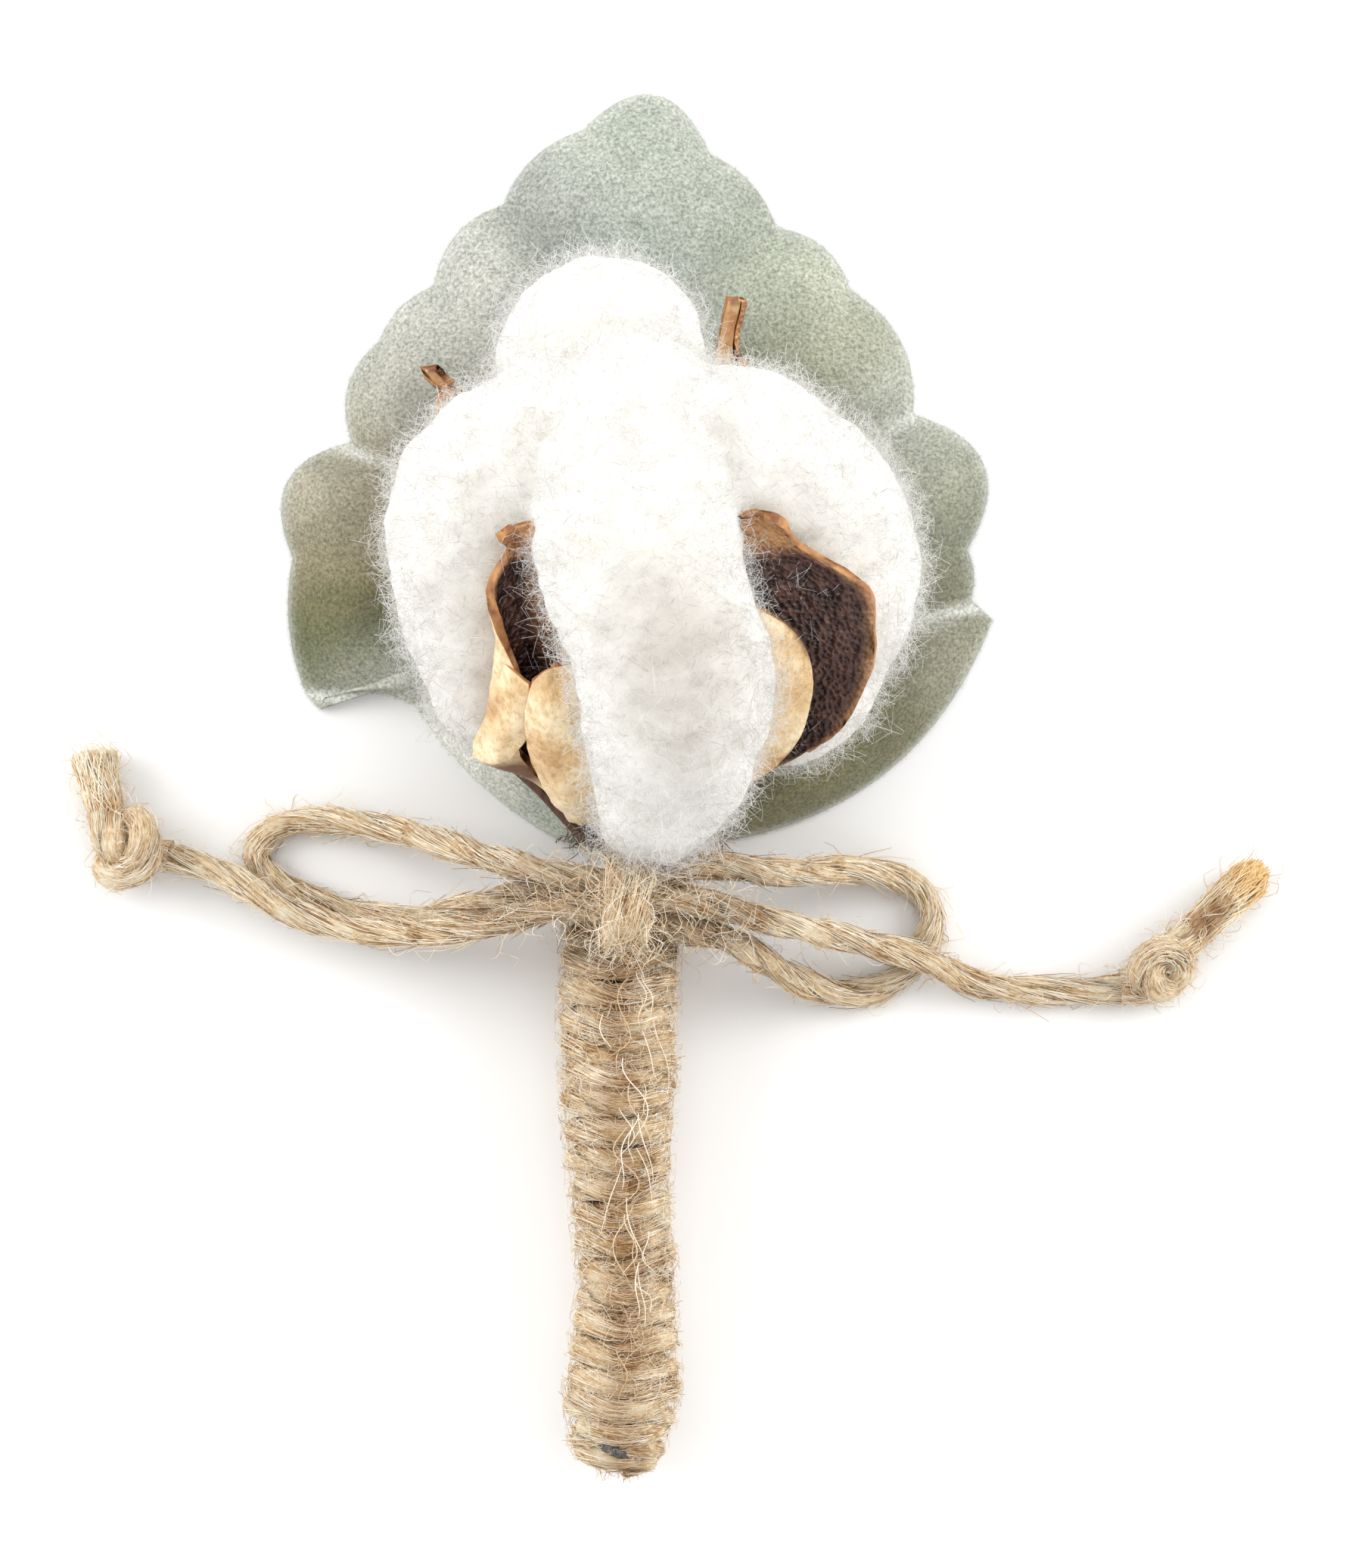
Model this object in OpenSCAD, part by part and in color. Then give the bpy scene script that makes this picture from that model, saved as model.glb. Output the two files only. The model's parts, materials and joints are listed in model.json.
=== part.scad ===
// A dried cotton boll with a flocked leaf behind it, tied to a short stem with
// jute twine and a bow. It lies on its back: the boll faces +Z, the stem runs
// towards -Y and the leaf's edge rests on Z = 0.

/* [Stem] */
// Outer diameter of the twine wound round the stem
wrap_d = 10; // [9.5:0.5:11]
// Length of the wound stem
wrap_l = 55.5; // [45:0.5:60]
// Outer diameter where the bow bites into the winding
neck_d = 9.5; // [8.5:0.5:9.5]
// Outer diameter of the taped bundle inside the winding
tape_d = 4.9; // [4.9:0.1:6]
// Wall of the floral tape
tape_wall = 0.3; // [0.2:0.05:0.4]
// Diameter of the boll's own woody stalk
stalk_d = 2.2; // [1.8:0.1:2.2]
// Diameter of each stiffening wire
wire_d = 0.8; // [0.5:0.1:0.8]

/* [Twine] */
// Diameter of the jute twine
twine_d = 2.5; // [2:0.1:2.5]
// Diameter of the knot near the end of each tail
tail_knot_d = 6.4; // [5.6:0.2:6.4]
// Diameter of the brushed-out end beyond each knot
tuft_d = 3.6; // [3:0.2:3.8]

/* [Boll] */
// Wall of a bur valve
valve_t = 1; // [0.8:0.1:1.2]
// Diameter of the calyx cup under the boll
calyx_d = 11; // [9:0.5:11.5]
// Length of a seed
seed_l = 8; // [6:0.5:8]
// Diameter of a seed
seed_d = 4.4; // [3.6:0.2:4.4]
// Seeds in each lock of lint
seed_count = 7; // [5:1:7]

/* [Leaf] */
// Thickness of the flocked leaf
leaf_t = 0.8; // [0.6:0.1:1]
// Height of the cushions between the side veins
leaf_puff = 3.4; // [2:0.2:4]
// Diameter of the wire rib glued under the leaf
rib_d = 0.8; // [0.6:0.1:0.9]

/* [Hidden] */
$fn = 48;

rest_gap = 0.2;                              // the bow's band just clears the table
stem_x = -1.3;
stem_z = neck_d/2 + twine_d + rest_gap;
wrap_top = -7;
neck_l = 8;                                  // length of the neck, below wrap_top
wrap_butt = wrap_top - wrap_l;
butt_round = 3.5;
inner_butt = wrap_butt + 2.2;                // the bundle stops inside the winding
band_y = -10.6;
bow_z = stem_z + neck_d/2 + twine_d + 2;   // the bow's knot sits on the band
calyx_at = [-0.6, -2.6, 10.6];
boll_tilt = 55;                              // from +Z towards +Y
low = twine_d/2 + 0.05;                      // centre of twine that lies on the table

// Bow routes, from the knot outwards: x, y, z
loop_left = [[-2.5, -9.3, 16], [-9, -7.7, 14.5], [-14.5, -6.3, 10], [-20, -4.6, 5.5], [-26, -3.4, 2.2],
    [-31, -3.4, low], [-33.6, -4.8, low], [-34.4, -7, low], [-31.2, -9.7, 1.4], [-26, -11.6, 1.8],
    [-20, -12.2, 4.2], [-14, -10.8, 8.5], [-8.2, -9.7, 13], [-2.5, -10.4, 15]];
loop_right = [[1, -9, 16], [6, -7.3, 14.5], [13, -8, 9], [20, -7.7, 3.5], [24.4, -8.8, 1.5],
    [26.6, -11.4, low], [26.4, -14, low], [25.2, -16, low], [23.6, -17.6, low], [21.2, -18.8, low],
    [17.3, -18.8, 2.2], [13.6, -17.3, 5], [8.8, -14.3, 10], [4.6, -13, 13.8], [1, -11.5, 15]];
tail_left = [[-2.5, -11.4, 17], [-6.3, -11, 16.5], [-10.2, -11.9, 14.8], [-16, -13.2, 10.8], [-22, -13.5, 6.8],
    [-27.7, -12.8, 4.4], [-32.8, -10.8, 4], [-37.5, -8.1, 2.8], [-42.6, -6.5, 2.6]];
tail_right = [[1, -10.4, 17], [6, -10.7, 15.5], [12.5, -12.5, 11], [19, -14, 6], [25.6, -15.8, 4],
    [31, -18.1, 1.8], [38.6, -18.8, low], [44.2, -18.4, 2]];
knot_left = [-45.6, -5.4, 3.3];
knot_right = [47.4, -16.6, 3.3];
tuft_left = [[-46.1, -2.6, 3], [-47.8, 0.2, 2.4], [-49.2, 3.2, 2.2]];
tuft_right = [[49.6, -14.6, 3], [52.8, -11.4, 2.4], [56, -8.2, 2.2]];

// Lint locks: x, y, z and radius along each one
lint_front = [[0, 31, 26, 9.5], [0, 22, 31, 9.4], [1.5, 15, 31.5, 9], [3.4, 9, 30.5, 8.6], [3, 3, 25, 7.8],
    [1.4, -2.6, 18.5, 5.2]];
lint_left = [[-6.5, 30, 24.5, 8.6], [-12.2, 25.5, 21, 9.8], [-12.6, 16, 15.6, 9.2], [-11.8, 9.5, 12.4, 7.4]];
lint_right = [[8.5, 29, 24.5, 9], [14.3, 22, 17.6, 10.8], [14, 16, 13, 10.8], [13, 10, 12, 8.6]];
lint_top = [[-3, 38, 16, 9.6], [-3, 22, 16, 9.6]];

// Bur valves that recurve towards the viewer, from base to beak. Each row runs
// from one rolled edge, across the hollow outer face, to the other edge.
valve_left_net = [
    [[-4.4, -3.4, 14.2], [-4.9, -3.4, 13.4], [-4.6, -3.6, 12.2], [-3.9, -3.8, 12], [-3.3, -3.6, 13.2]],
    [[-8.6, 1, 16], [-9.2, 0.6, 14.8], [-7.4, 0.2, 14], [-5, -0.2, 15], [-7.4, -0.4, 18]],
    [[-10.6, 3.4, 20], [-14.2, 2.8, 18.6], [-9.6, 2.8, 16], [-5, 2.9, 18.4], [-9.2, 3.2, 21.4]],
    [[-9.9, 6.4, 24], [-12.6, 7, 22.4], [-9, 6.8, 19.5], [-5, 7, 22.6], [-9.9, 6.8, 24.8]],
    [[-10.6, 9.6, 26.6], [-12.4, 10.2, 25.6], [-9, 10, 22.2], [-5.6, 10.2, 25], [-7.6, 10, 27]],
    [[-12.4, 14, 28.4], [-12, 13.8, 26.6], [-9.6, 13.6, 24.8], [-7.2, 13.6, 26.6], [-6.4, 12.6, 28.4]],
    [[-13, 17.6, 29.8], [-12.2, 17.6, 28.4], [-10.4, 17.6, 27.2], [-8.8, 17.6, 28.4], [-8, 17.4, 30]],
    [[-11.4, 20.8, 31], [-10.8, 20.9, 30.4], [-10, 20.9, 30], [-9.2, 20.9, 30.4], [-8.4, 20.9, 31]],
    [[-12.3, 22, 33], [-11.6, 22.6, 32.6], [-10.6, 22.9, 32.4], [-9.5, 23.2, 32.6], [-8.6, 22.9, 33]]];
valve_right_net = [
    [[5, -3.2, 14], [4, -3.2, 13.5], [3.6, -3.4, 12.3], [4.4, -3.6, 11.4], [5.6, -3.4, 11]],
    [[9.3, -0.2, 17.5], [6.5, 0, 18], [5.5, 0.2, 15.5], [8, 0.4, 13.8], [11.5, 1.4, 15]],
    [[14, 3.4, 22], [9.5, 4, 23], [7, 4.4, 19.5], [12, 4, 17.5], [17.2, 3.9, 19.5]],
    [[15.7, 8.8, 26.4], [10.5, 9, 27.4], [7.5, 9.2, 23.6], [14.5, 9, 22.4], [20.6, 9, 24.4]],
    [[14.2, 13.6, 29], [10, 13.6, 29.2], [8, 13.8, 26.6], [15.3, 14, 25.9], [21.4, 14, 27.2]],
    [[9.4, 16.8, 29.8], [8.2, 17.2, 29.2], [8.6, 17.6, 28], [14.6, 18, 27.6], [20.4, 17.8, 29]],
    [[8.2, 20.4, 31], [9, 20.6, 30.2], [10.4, 20.9, 29.8], [12.6, 21.1, 30], [14.4, 21.3, 30.6]],
    [[9.2, 24, 33], [9.9, 24.1, 32.8], [10.7, 24.3, 32.7], [11.9, 24, 32.8], [13.2, 23.2, 33]]];
// Valves under the boll: x, y, z of the keel, half width, rise of the edges
keel_left = [[-2.5, -3, 7, 2, 1], [-5.5, 2, 4.6, 5, 2.6], [-9, 9, 4, 7, 4.4], [-13, 20, 5, 7, 4.6],
    [-14.8, 30, 9, 4, 2.4], [-16.6, 34.8, 13.4, 1.2, 0.6], [-18.6, 37.4, 16, 0.8, 0.3]];
keel_right = [[1.5, -3, 7, 2, 1], [4, 2, 4.6, 5, 2.6], [7, 9, 4, 7, 4.4], [9, 20, 5, 7.4, 4.6],
    [9.2, 32, 8.6, 4.4, 2.6], [8.3, 38.6, 12, 1.3, 0.6], [8.9, 43.6, 15.4, 1, 0.3]];

seed_gap = 3.1;                              // half the distance between the two rows of seeds
bract_route = [[-10.8, 1.4, 8.6], [-8.6, -0.6, 9], [-6.6, -2.8, 9.4], [-4.6, -5, 9.8]];
bract_d = 1.1;

// Notches round the leaf, anticlockwise from the base: x, y and how far the
// edge after it swells outwards
leaf_notches = [[7.7, -5.2, 4.6], [32.2, 14.8, 0], [30.2, 16.6, 0.5], [29.9, 21.2, 4.3], [25, 33.5, 2],
    [19.3, 44.8, 1.4], [12.6, 50.4, 1], [6.6, 57.1, 4.4], [-5, 59.2, 1.2], [-12.1, 52.5, 1.5],
    [-18.4, 45.1, 0.8], [-23.3, 40.2, 1.7], [-25.8, 31, 3.6], [-31.2, 20.5, 0.8], [-30.4, 9.2, 0.2],
    [-28.6, 6.8, -1.4], [-20, 7, 1.2], [-6.8, -5.2, 0]];
leaf_mid = [0, 16];
leaf_steps = 6;
leaf_rings = 7;
leaf_floor = 1;                              // height of the leaf's underside below the boll
leaf_root = [-0.8, -6];                      // where the leaf lifts to meet the stem
root_lift = 5;
root_reach = 5.5;
vein_ends = [[27, 34], [-28, 31], [31, 16], [-30, 8], [13, 52], [-13, 53]];
vein_roots = [[0, 22], [0, 20], [0, 10], [0, 6], [0, 34], [0, 34]];
vein_width = 2.4;
vein_depth = 0.75;

// Point at fraction f of the way from p[i] to p[i + 1] on a smooth curve through p
function smooth_at(p, i, f) =
    let (n = len(p) - 1, a = p[max(i - 1, 0)], b = p[i], c = p[i + 1], d = p[min(i + 2, n)])
    0.5*(2*b + (c - a)*f + (2*a - 5*b + 4*c - d)*pow(f, 2) + (3*b - a - 3*c + d)*pow(f, 3));
function refine(p, n) =
    [for (i = [0:len(p) - 2], k = [0:n - 1]) smooth_at(p, i, k/n), p[len(p) - 1]];

function unit(v) = v/norm(v);
function xyz(p) = [p[0], p[1], p[2]];
function heading(path, i) = unit(path[min(i + 1, len(path) - 1)] - path[max(i - 1, 0)]);
function ring(centre, along, r, sides) =
    let (across = unit(cross(along, [0, 0, 1])), up = cross(across, along))
    [for (k = [0:sides - 1]) centre + r*(cos(360*k/sides)*across + sin(360*k/sides)*up)];

// A closed tube with one ring at each point of the path
module tube(path, radii, sides) {
    last = len(path) - 1;
    points = [for (i = [0:last]) each ring(path[i], heading(path, i), radii[i], sides)];
    walls = [for (i = [0:last - 1], k = [0:sides - 1])
        [i*sides + k, i*sides + (k + 1)%sides, (i + 1)*sides + (k + 1)%sides, (i + 1)*sides + k]];
    start = [for (k = [sides - 1:-1:0]) k];
    end = [for (k = [0:sides - 1]) last*sides + k];
    polyhedron(points, concat(walls, [start, end]), convexity = 6);
}

module twine(route) {
    tube(route, [for (p = route) twine_d/2], 8);
}

// A rounded body through stations of x, y, z and radius
module lock(stations) {
    s = refine(stations, 3);
    path = [for (p = s) xyz(p)];
    last = len(s) - 1;
    caps = [78, 52, 26];
    head = heading(path, 0);
    tail = heading(path, last);
    first_points = [for (a = caps) path[0] - s[0][3]*sin(a)*head];
    last_points = [for (a = caps) path[last] + s[last][3]*sin(a)*tail];
    tube(concat(first_points, path, [for (i = [2:-1:0]) last_points[i]]),
        concat([for (a = caps) s[0][3]*cos(a)], [for (p = s) p[3]],
            [for (i = [2:-1:0]) s[last][3]*cos(caps[i])]), 20);
}

// A wall of even thickness over a grid of points
module grid_wall(net, thickness) {
    rows = len(net);
    cols = len(net[0]);
    normals = [for (i = [0:rows - 1], j = [0:cols - 1])
        let (down = net[min(i + 1, rows - 1)][j] - net[max(i - 1, 0)][j],
            over = net[i][min(j + 1, cols - 1)] - net[i][max(j - 1, 0)])
        unit(cross(over, down))];
    flat = [for (row = net) each row];
    front = [for (i = [0:len(flat) - 1]) flat[i] + normals[i]*thickness/2];
    back = [for (i = [0:len(flat) - 1]) flat[i] - normals[i]*thickness/2];
    closed_grid(front, back, rows, cols);
}

// Joins two grids of points, the front one seen from +normal, into a solid
module closed_grid(front, back, rows, cols) {
    n = rows*cols;
    faces = [for (i = [0:rows - 2], j = [0:cols - 2])
        each let (a = i*cols + j, b = a + 1, c = a + cols + 1, d = a + cols)
        [[a, d, c], [a, c, b], [a + n, c + n, d + n], [a + n, b + n, c + n]]];
    rim = concat([for (j = [0:cols - 1]) j], [for (i = [1:rows - 1]) i*cols + cols - 1],
        [for (j = [cols - 2:-1:0]) (rows - 1)*cols + j], [for (i = [rows - 2:-1:1]) i*cols]);
    edge = [for (k = [0:len(rim) - 1])
        each let (a = rim[k], b = rim[(k + 1)%len(rim)]) [[a, b, b + n], [a, b + n, a + n]]];
    polyhedron(concat(front, back), concat(faces, edge), convexity = 6);
}

module front_valve(net) {
    grid_wall([for (row = refine(net, 2)) refine(row, 3)], valve_t);
}

module back_valve(keel) {
    grid_wall([for (p = refine(keel, 2))
        [for (j = [-4:4]) [p[0] + p[3]*j/4, p[1], p[2] + valve_t/2 + p[4]*pow(j/4, 2)]]], valve_t);
}

module seed() {
    rotate_extrude()
        polygon([for (a = [-90:22.5:90]) [seed_d/2*pow(cos(a), 1.3), seed_l/2*sin(a)]]);
}

// Two rows of upright seeds along the first part of a lock's middle line
module seeds(stations, reach) {
    s = refine(stations, 24);
    for (i = [0:seed_count - 1]) {
        p = s[round(reach*(i + 0.1)*(len(s) - 1)/(seed_count - 0.8))];
        side = i%2 == 0 ? 1 : -1;
        translate(xyz(p) + [side*seed_gap, 0, side])
            rotate([8, side*8, 0])
                seed();
    }
}

function leaf_edge() =
    [for (i = [0:len(leaf_notches) - 1], k = [0:leaf_steps - 1])
        let (a = leaf_notches[i], b = leaf_notches[(i + 1)%len(leaf_notches)], f = k/leaf_steps,
            chord = [b[0] - a[0], b[1] - a[1]], out = [chord[1], -chord[0]]/norm(chord))
        [a[0], a[1]] + chord*f + out*a[2]*4*f*(1 - f)];

function gap_to(p, a, b) =
    let (f = max(0, min(1, (p - a)*(b - a)/pow(norm(b - a), 2)))) norm(p - a - (b - a)*f);
function vein_gap(p) = min([for (i = [0:len(vein_ends) - 1]) gap_to(p, vein_roots[i], vein_ends[i])]);

// Height of the leaf's underside at p, the fraction k of the way out to its edge
function leaf_height(p, k) =
    leaf_floor*(1 - k*k)
    + leaf_puff*sin(180*pow(k, 3))*(1 - vein_depth*exp(-pow(vein_gap(p)/vein_width, 2)))
    + root_lift*exp(-pow(norm(p - leaf_root)/root_reach, 2));

module calyx() {
    color("#4a372c")
        translate(calyx_at)
            rotate([-boll_tilt, 0, 0])
                rotate_extrude()
                    polygon([[0, -5], [2, -4.6], [calyx_d/2 - 1.6, -2.4], [calyx_d/2, 0.6],
                        [calyx_d/2 - 0.8, 1.4], [calyx_d/2 - 2, 1], [0, 2]]);
}

module valve_front_left() {
    color("#4f3328") front_valve(valve_left_net);
}

module valve_front_right() {
    color("#4f3328") front_valve(valve_right_net);
}

module valve_back_left() {
    color("#5a3a28") back_valve(keel_left);
}

module valve_back_right() {
    color("#5a3a28") back_valve(keel_right);
}

module lint(stations) {
    color("#f4f1ea") lock(stations);
}

module seed_group(stations, reach) {
    color("#6b5844") seeds(stations, reach);
}

module bract_remnant() {
    color("#4a3026") tube(bract_route, [for (p = bract_route) bract_d/2], 8);
}

// A rod along the stem, off its axis by dx and dz
module stem_rod(dx, dz, d, from_y, to_y) {
    translate([stem_x + dx, to_y, stem_z + dz])
        rotate([90, 0, 0])
            cylinder(d = d, h = to_y - from_y);
}

stalk_up = 0.95;
rib_down = 1.3;
wire_side = 1.3;
wire_down = 0.5;
rib_root_d = 1.3;

module stalk() {
    color("#6a5040") stem_rod(0, stalk_up, stalk_d, inner_butt, calyx_at[1] - 2);
}

module stem_wires() {
    color("#3f5a3c")
        for (side = [-1, 1])
            stem_rod(side*wire_side, -wire_down, wire_d, inner_butt + 1, wrap_top - 3);
}

module floral_tape() {
    color("#4c5a4a")
        difference() {
            stem_rod(0, 0, tape_d, inner_butt, wrap_top - 1);
            stem_rod(0, 0, tape_d - 2*tape_wall, inner_butt - 1, wrap_top);
        }
}

module stem_wrap() {
    bore = tape_d/2 + 0.05;
    color("#c9a679")
        translate([stem_x, wrap_top, stem_z])
            rotate([90, 0, 0])
                rotate_extrude()
                    difference() {
                        translate([bore, 0]) square([wrap_d/2 - bore, wrap_l]);
                        translate([neck_d/2, -1]) square([wrap_d, neck_l + 1]);
                        translate([wrap_d/2 - butt_round, wrap_l - butt_round])
                            difference() {
                                square(butt_round + 1);
                                circle(r = butt_round);
                            }
                    }
}

module leaf_blade() {
    edge = leaf_edge();
    n = len(edge);
    grid = [for (k = [1:leaf_rings], p = edge)
        let (f = k/leaf_rings, q = leaf_mid + (p - leaf_mid)*f) [q[0], q[1], leaf_height(q, f)]];
    under = concat([[leaf_mid[0], leaf_mid[1], leaf_floor]], grid);
    top = [for (p = under) p + [0, 0, leaf_t]];
    m = len(under);
    fan = [for (i = [0:n - 1]) each let (a = 1 + i, b = 1 + (i + 1)%n) [[0, a, b], [m, b + m, a + m]]];
    skin = [for (k = [0:leaf_rings - 2], i = [0:n - 1])
        each let (a = 1 + k*n + i, b = 1 + k*n + (i + 1)%n, c = b + n, d = a + n)
        [[a, d, c], [a, c, b], [a + m, c + m, d + m], [a + m, b + m, c + m]]];
    rim = [for (i = [0:n - 1])
        each let (a = m - n + i, b = m - n + (i + 1)%n) [[a, a + m, b + m], [a, b + m, b]]];
    color("#aab3a2") polyhedron(concat(under, top), concat(fan, skin, rim), convexity = 6);
}

// The rib follows the leaf's underside and runs on as a stalk into the stem
module leaf_rib() {
    on_leaf = [for (y = [42:-3:0])
        [0.02*(y - leaf_mid[1]), y, leaf_height([0, y], abs(y - leaf_mid[1])/46) - rib_d/2]];
    in_stem = [[-0.9, -3.4, 4.4], [stem_x, -7.5, stem_z - rib_down], [stem_x, -14, stem_z - rib_down],
        [stem_x, inner_butt + 0.5, stem_z - rib_down]];
    color("#8a9a78")
        tube(concat(on_leaf, in_stem),
            concat([for (p = on_leaf) rib_d/2], [0.5, rib_root_d/2, rib_root_d/2, rib_root_d/2]), 8);
}

module bow_band() {
    color("#d5b991")
        translate([stem_x, band_y, stem_z])
            rotate([90, 0, 0])
                rotate_extrude()
                    translate([neck_d/2 + twine_d/2, 0]) circle(d = twine_d);
}

// Two turns of twine round the crossing of the bow
module bow_knot() {
    color("#d5b991")
        for (x = [-0.5, 0.5])
            translate([-0.8 + x*twine_d, band_y, bow_z])
                rotate([0, 90, 0])
                    rotate_extrude()
                        translate([1.16*twine_d, 0]) circle(d = twine_d);
}

module tail_knot(at) {
    color("#e4c7a0") translate(at) sphere(d = tail_knot_d);
}

module tail_end(route) {
    color("#f3e0bf") tube(route, [0.8*tuft_d/2, 0.92*tuft_d/2, tuft_d/2], 8);
}

calyx();
valve_front_left();
valve_front_right();
valve_back_left();
valve_back_right();
lint(lint_front);  // lock_front
lint(lint_left);  // lock_left
lint(lint_right);  // lock_right
lint(lint_top);  // lock_top
seed_group(lint_front, 0.78);  // seeds_front
seed_group(lint_left, 1);  // seeds_left
seed_group(lint_right, 1);  // seeds_right
seed_group(lint_top, 1);  // seeds_top
bract_remnant();
stalk();
leaf_blade();
leaf_rib();
stem_wires();
floral_tape();
stem_wrap();
bow_band();
bow_knot();
color("#c9a679") twine(loop_left);  // bow_loop_left
color("#c9a679") twine(loop_right);  // bow_loop_right
color("#c9a679") twine(tail_left);  // bow_tail_left
color("#c9a679") twine(tail_right);  // bow_tail_right
tail_knot(knot_left);  // tail_knot_left
tail_knot(knot_right);  // tail_knot_right
tail_end(tuft_left);  // tail_end_left
tail_end(tuft_right);  // tail_end_right
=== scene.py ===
import json

import bpy
import numpy as np
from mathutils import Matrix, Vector
from mathutils.bvhtree import BVHTree

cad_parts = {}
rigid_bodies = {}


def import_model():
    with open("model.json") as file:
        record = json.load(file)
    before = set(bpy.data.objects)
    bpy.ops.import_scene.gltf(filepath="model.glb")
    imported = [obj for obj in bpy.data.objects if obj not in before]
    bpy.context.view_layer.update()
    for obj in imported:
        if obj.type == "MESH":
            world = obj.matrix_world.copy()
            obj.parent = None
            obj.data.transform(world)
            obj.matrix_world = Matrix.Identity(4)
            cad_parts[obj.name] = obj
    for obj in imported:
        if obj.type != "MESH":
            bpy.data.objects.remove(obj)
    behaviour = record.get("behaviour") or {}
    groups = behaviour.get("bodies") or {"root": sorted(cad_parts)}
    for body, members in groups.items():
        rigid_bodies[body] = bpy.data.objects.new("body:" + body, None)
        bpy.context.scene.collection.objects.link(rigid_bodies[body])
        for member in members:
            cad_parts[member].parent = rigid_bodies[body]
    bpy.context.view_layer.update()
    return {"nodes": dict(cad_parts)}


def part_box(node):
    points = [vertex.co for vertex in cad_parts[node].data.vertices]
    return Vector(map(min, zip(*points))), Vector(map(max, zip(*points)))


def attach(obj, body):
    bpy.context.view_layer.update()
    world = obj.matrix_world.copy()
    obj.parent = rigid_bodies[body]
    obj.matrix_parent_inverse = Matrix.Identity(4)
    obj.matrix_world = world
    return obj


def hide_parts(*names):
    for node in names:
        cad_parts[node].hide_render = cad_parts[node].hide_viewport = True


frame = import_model()
nodes = frame["nodes"]
mm = 0.001
body = "root"
spanPoints = 24  # points worked out between two given points of a line


# Small tools
def unit(v):
    v = np.asarray(v, float)
    return v / np.maximum(np.linalg.norm(v, axis=-1, keepdims=True), 1e-12)


def colour(r, g, b):  # screen colour, 0 to 255, as the shader wants it
    return tuple((c / 255 / 12.92 if c / 255 <= 0.04045 else ((c / 255 + 0.055) / 1.055) ** 2.4)
                 for c in (r, g, b)) + (1.0,)


def between(a, b, c, d, t):  # a smooth curve from b to c, led by the points before and after them
    return 0.5 * (2 * b + (c - a) * t + (2 * a - 5 * b + 4 * c - d) * t ** 2
                  + (3 * b - a - 3 * c + d) * t ** 3)


def smoothLine(points, step):  # evenly spaced points on a smooth curve through the given ones
    p = np.array(points, float)
    q = np.vstack([2 * p[0] - p[1], p, 2 * p[-1] - p[-2]])
    t = np.linspace(0, 1, spanPoints, endpoint=False)[:, None]
    line = np.vstack([between(*q[i:i + 4], t) for i in range(len(p) - 1)] + [p[-1:]])
    run = lineRun(line)
    at = np.linspace(0, run[-1], max(3, int(round(run[-1] / step)) + 1))
    return np.stack([np.interp(at, run, line[:, k]) for k in range(line.shape[1])], axis=1)


def lineRun(line):  # distance along a line at each of its points
    return np.concatenate([[0], np.cumsum(np.linalg.norm(np.diff(line[:, :3], axis=0), axis=1))])


def carryFrames(line):  # directions along, across and up that never spin about the line
    along = unit(np.gradient(line, axis=0))
    across = np.zeros_like(line)
    first = np.cross(along[0], (0, 0, 1))
    across[0] = unit(first if np.linalg.norm(first) > 0.1 else np.cross(along[0], (1, 0, 0)))
    for i in range(1, len(line)):
        across[i] = unit(across[i - 1] - along[i] * (across[i - 1] @ along[i]))
    return along, across, np.cross(along, across)


def link(thing):
    bpy.context.scene.collection.objects.link(thing)
    return thing


def newMesh(name, verts, faces):
    mesh = bpy.data.meshes.new(name)
    mesh.from_pydata(np.asarray(verts, float).tolist(), [], [tuple(f) for f in faces])
    mesh.validate()
    mesh.shade_smooth()
    return link(bpy.data.objects.new(name, mesh))


def pointValues(piece, name, values):  # a number or a colour at each vertex, for a material to read
    values = np.asarray(values, float)
    kind = "FLOAT" if values.ndim == 1 else "FLOAT_VECTOR" if values.shape[1] == 3 else "FLOAT_COLOR"
    layer = piece.data.attributes.new(name, kind, "POINT")
    layer.data.foreach_set({"FLOAT": "value", "FLOAT_VECTOR": "vector", "FLOAT_COLOR": "color"}[kind],
                           values.ravel())


def only(piece):
    bpy.ops.object.select_all(action="DESELECT")
    piece.select_set(True)
    bpy.context.view_layer.objects.active = piece


def modify(piece, kind, **settings):
    added = piece.modifiers.new(kind.lower(), kind)
    for key, value in settings.items():
        setattr(added, key, value)


def addLumps(piece, size, height):  # soft bumps of a size and height in millimetres
    clouds = bpy.data.textures.new("lumps", "CLOUDS")
    clouds.noise_scale, clouds.noise_depth = size * mm, 2
    modify(piece, "DISPLACE", texture=clouds, strength=height * mm, mid_level=0.5)


def applyAll(piece):
    only(piece)
    for name in [m.name for m in piece.modifiers]:
        bpy.ops.object.modifier_apply(modifier=name)


def keepAbove(paths, height):  # nothing hangs through the table
    paths[:, :, 2] = np.maximum(paths[:, :, 2], height * mm)


def place(piece, material, stands=()):  # every piece rides the one body
    if material:
        piece.data.materials.append(material)
    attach(piece, body)
    if stands:
        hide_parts(*stands)
    return piece


# Material building
def newMaterial(name, rough, shine=0.5, **settings):
    material = bpy.data.materials.new(name)
    material.use_nodes = True
    tree = material.node_tree
    shader = tree.nodes["Principled BSDF"]
    for socket, value in (("Roughness", rough), ("Specular IOR Level", shine), *settings.items()):
        shader.inputs[socket.replace("_", " ")].default_value = value
    return material, tree, shader


def addNode(tree, kind, inputs=None, **options):
    node = tree.nodes.new(kind)
    for key, value in options.items():
        setattr(node, key, value)
    for key, value in (inputs or {}).items():
        if isinstance(value, bpy.types.NodeSocket):
            tree.links.new(value, node.inputs[key])
        else:
            node.inputs[key].default_value = value
    return node


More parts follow.
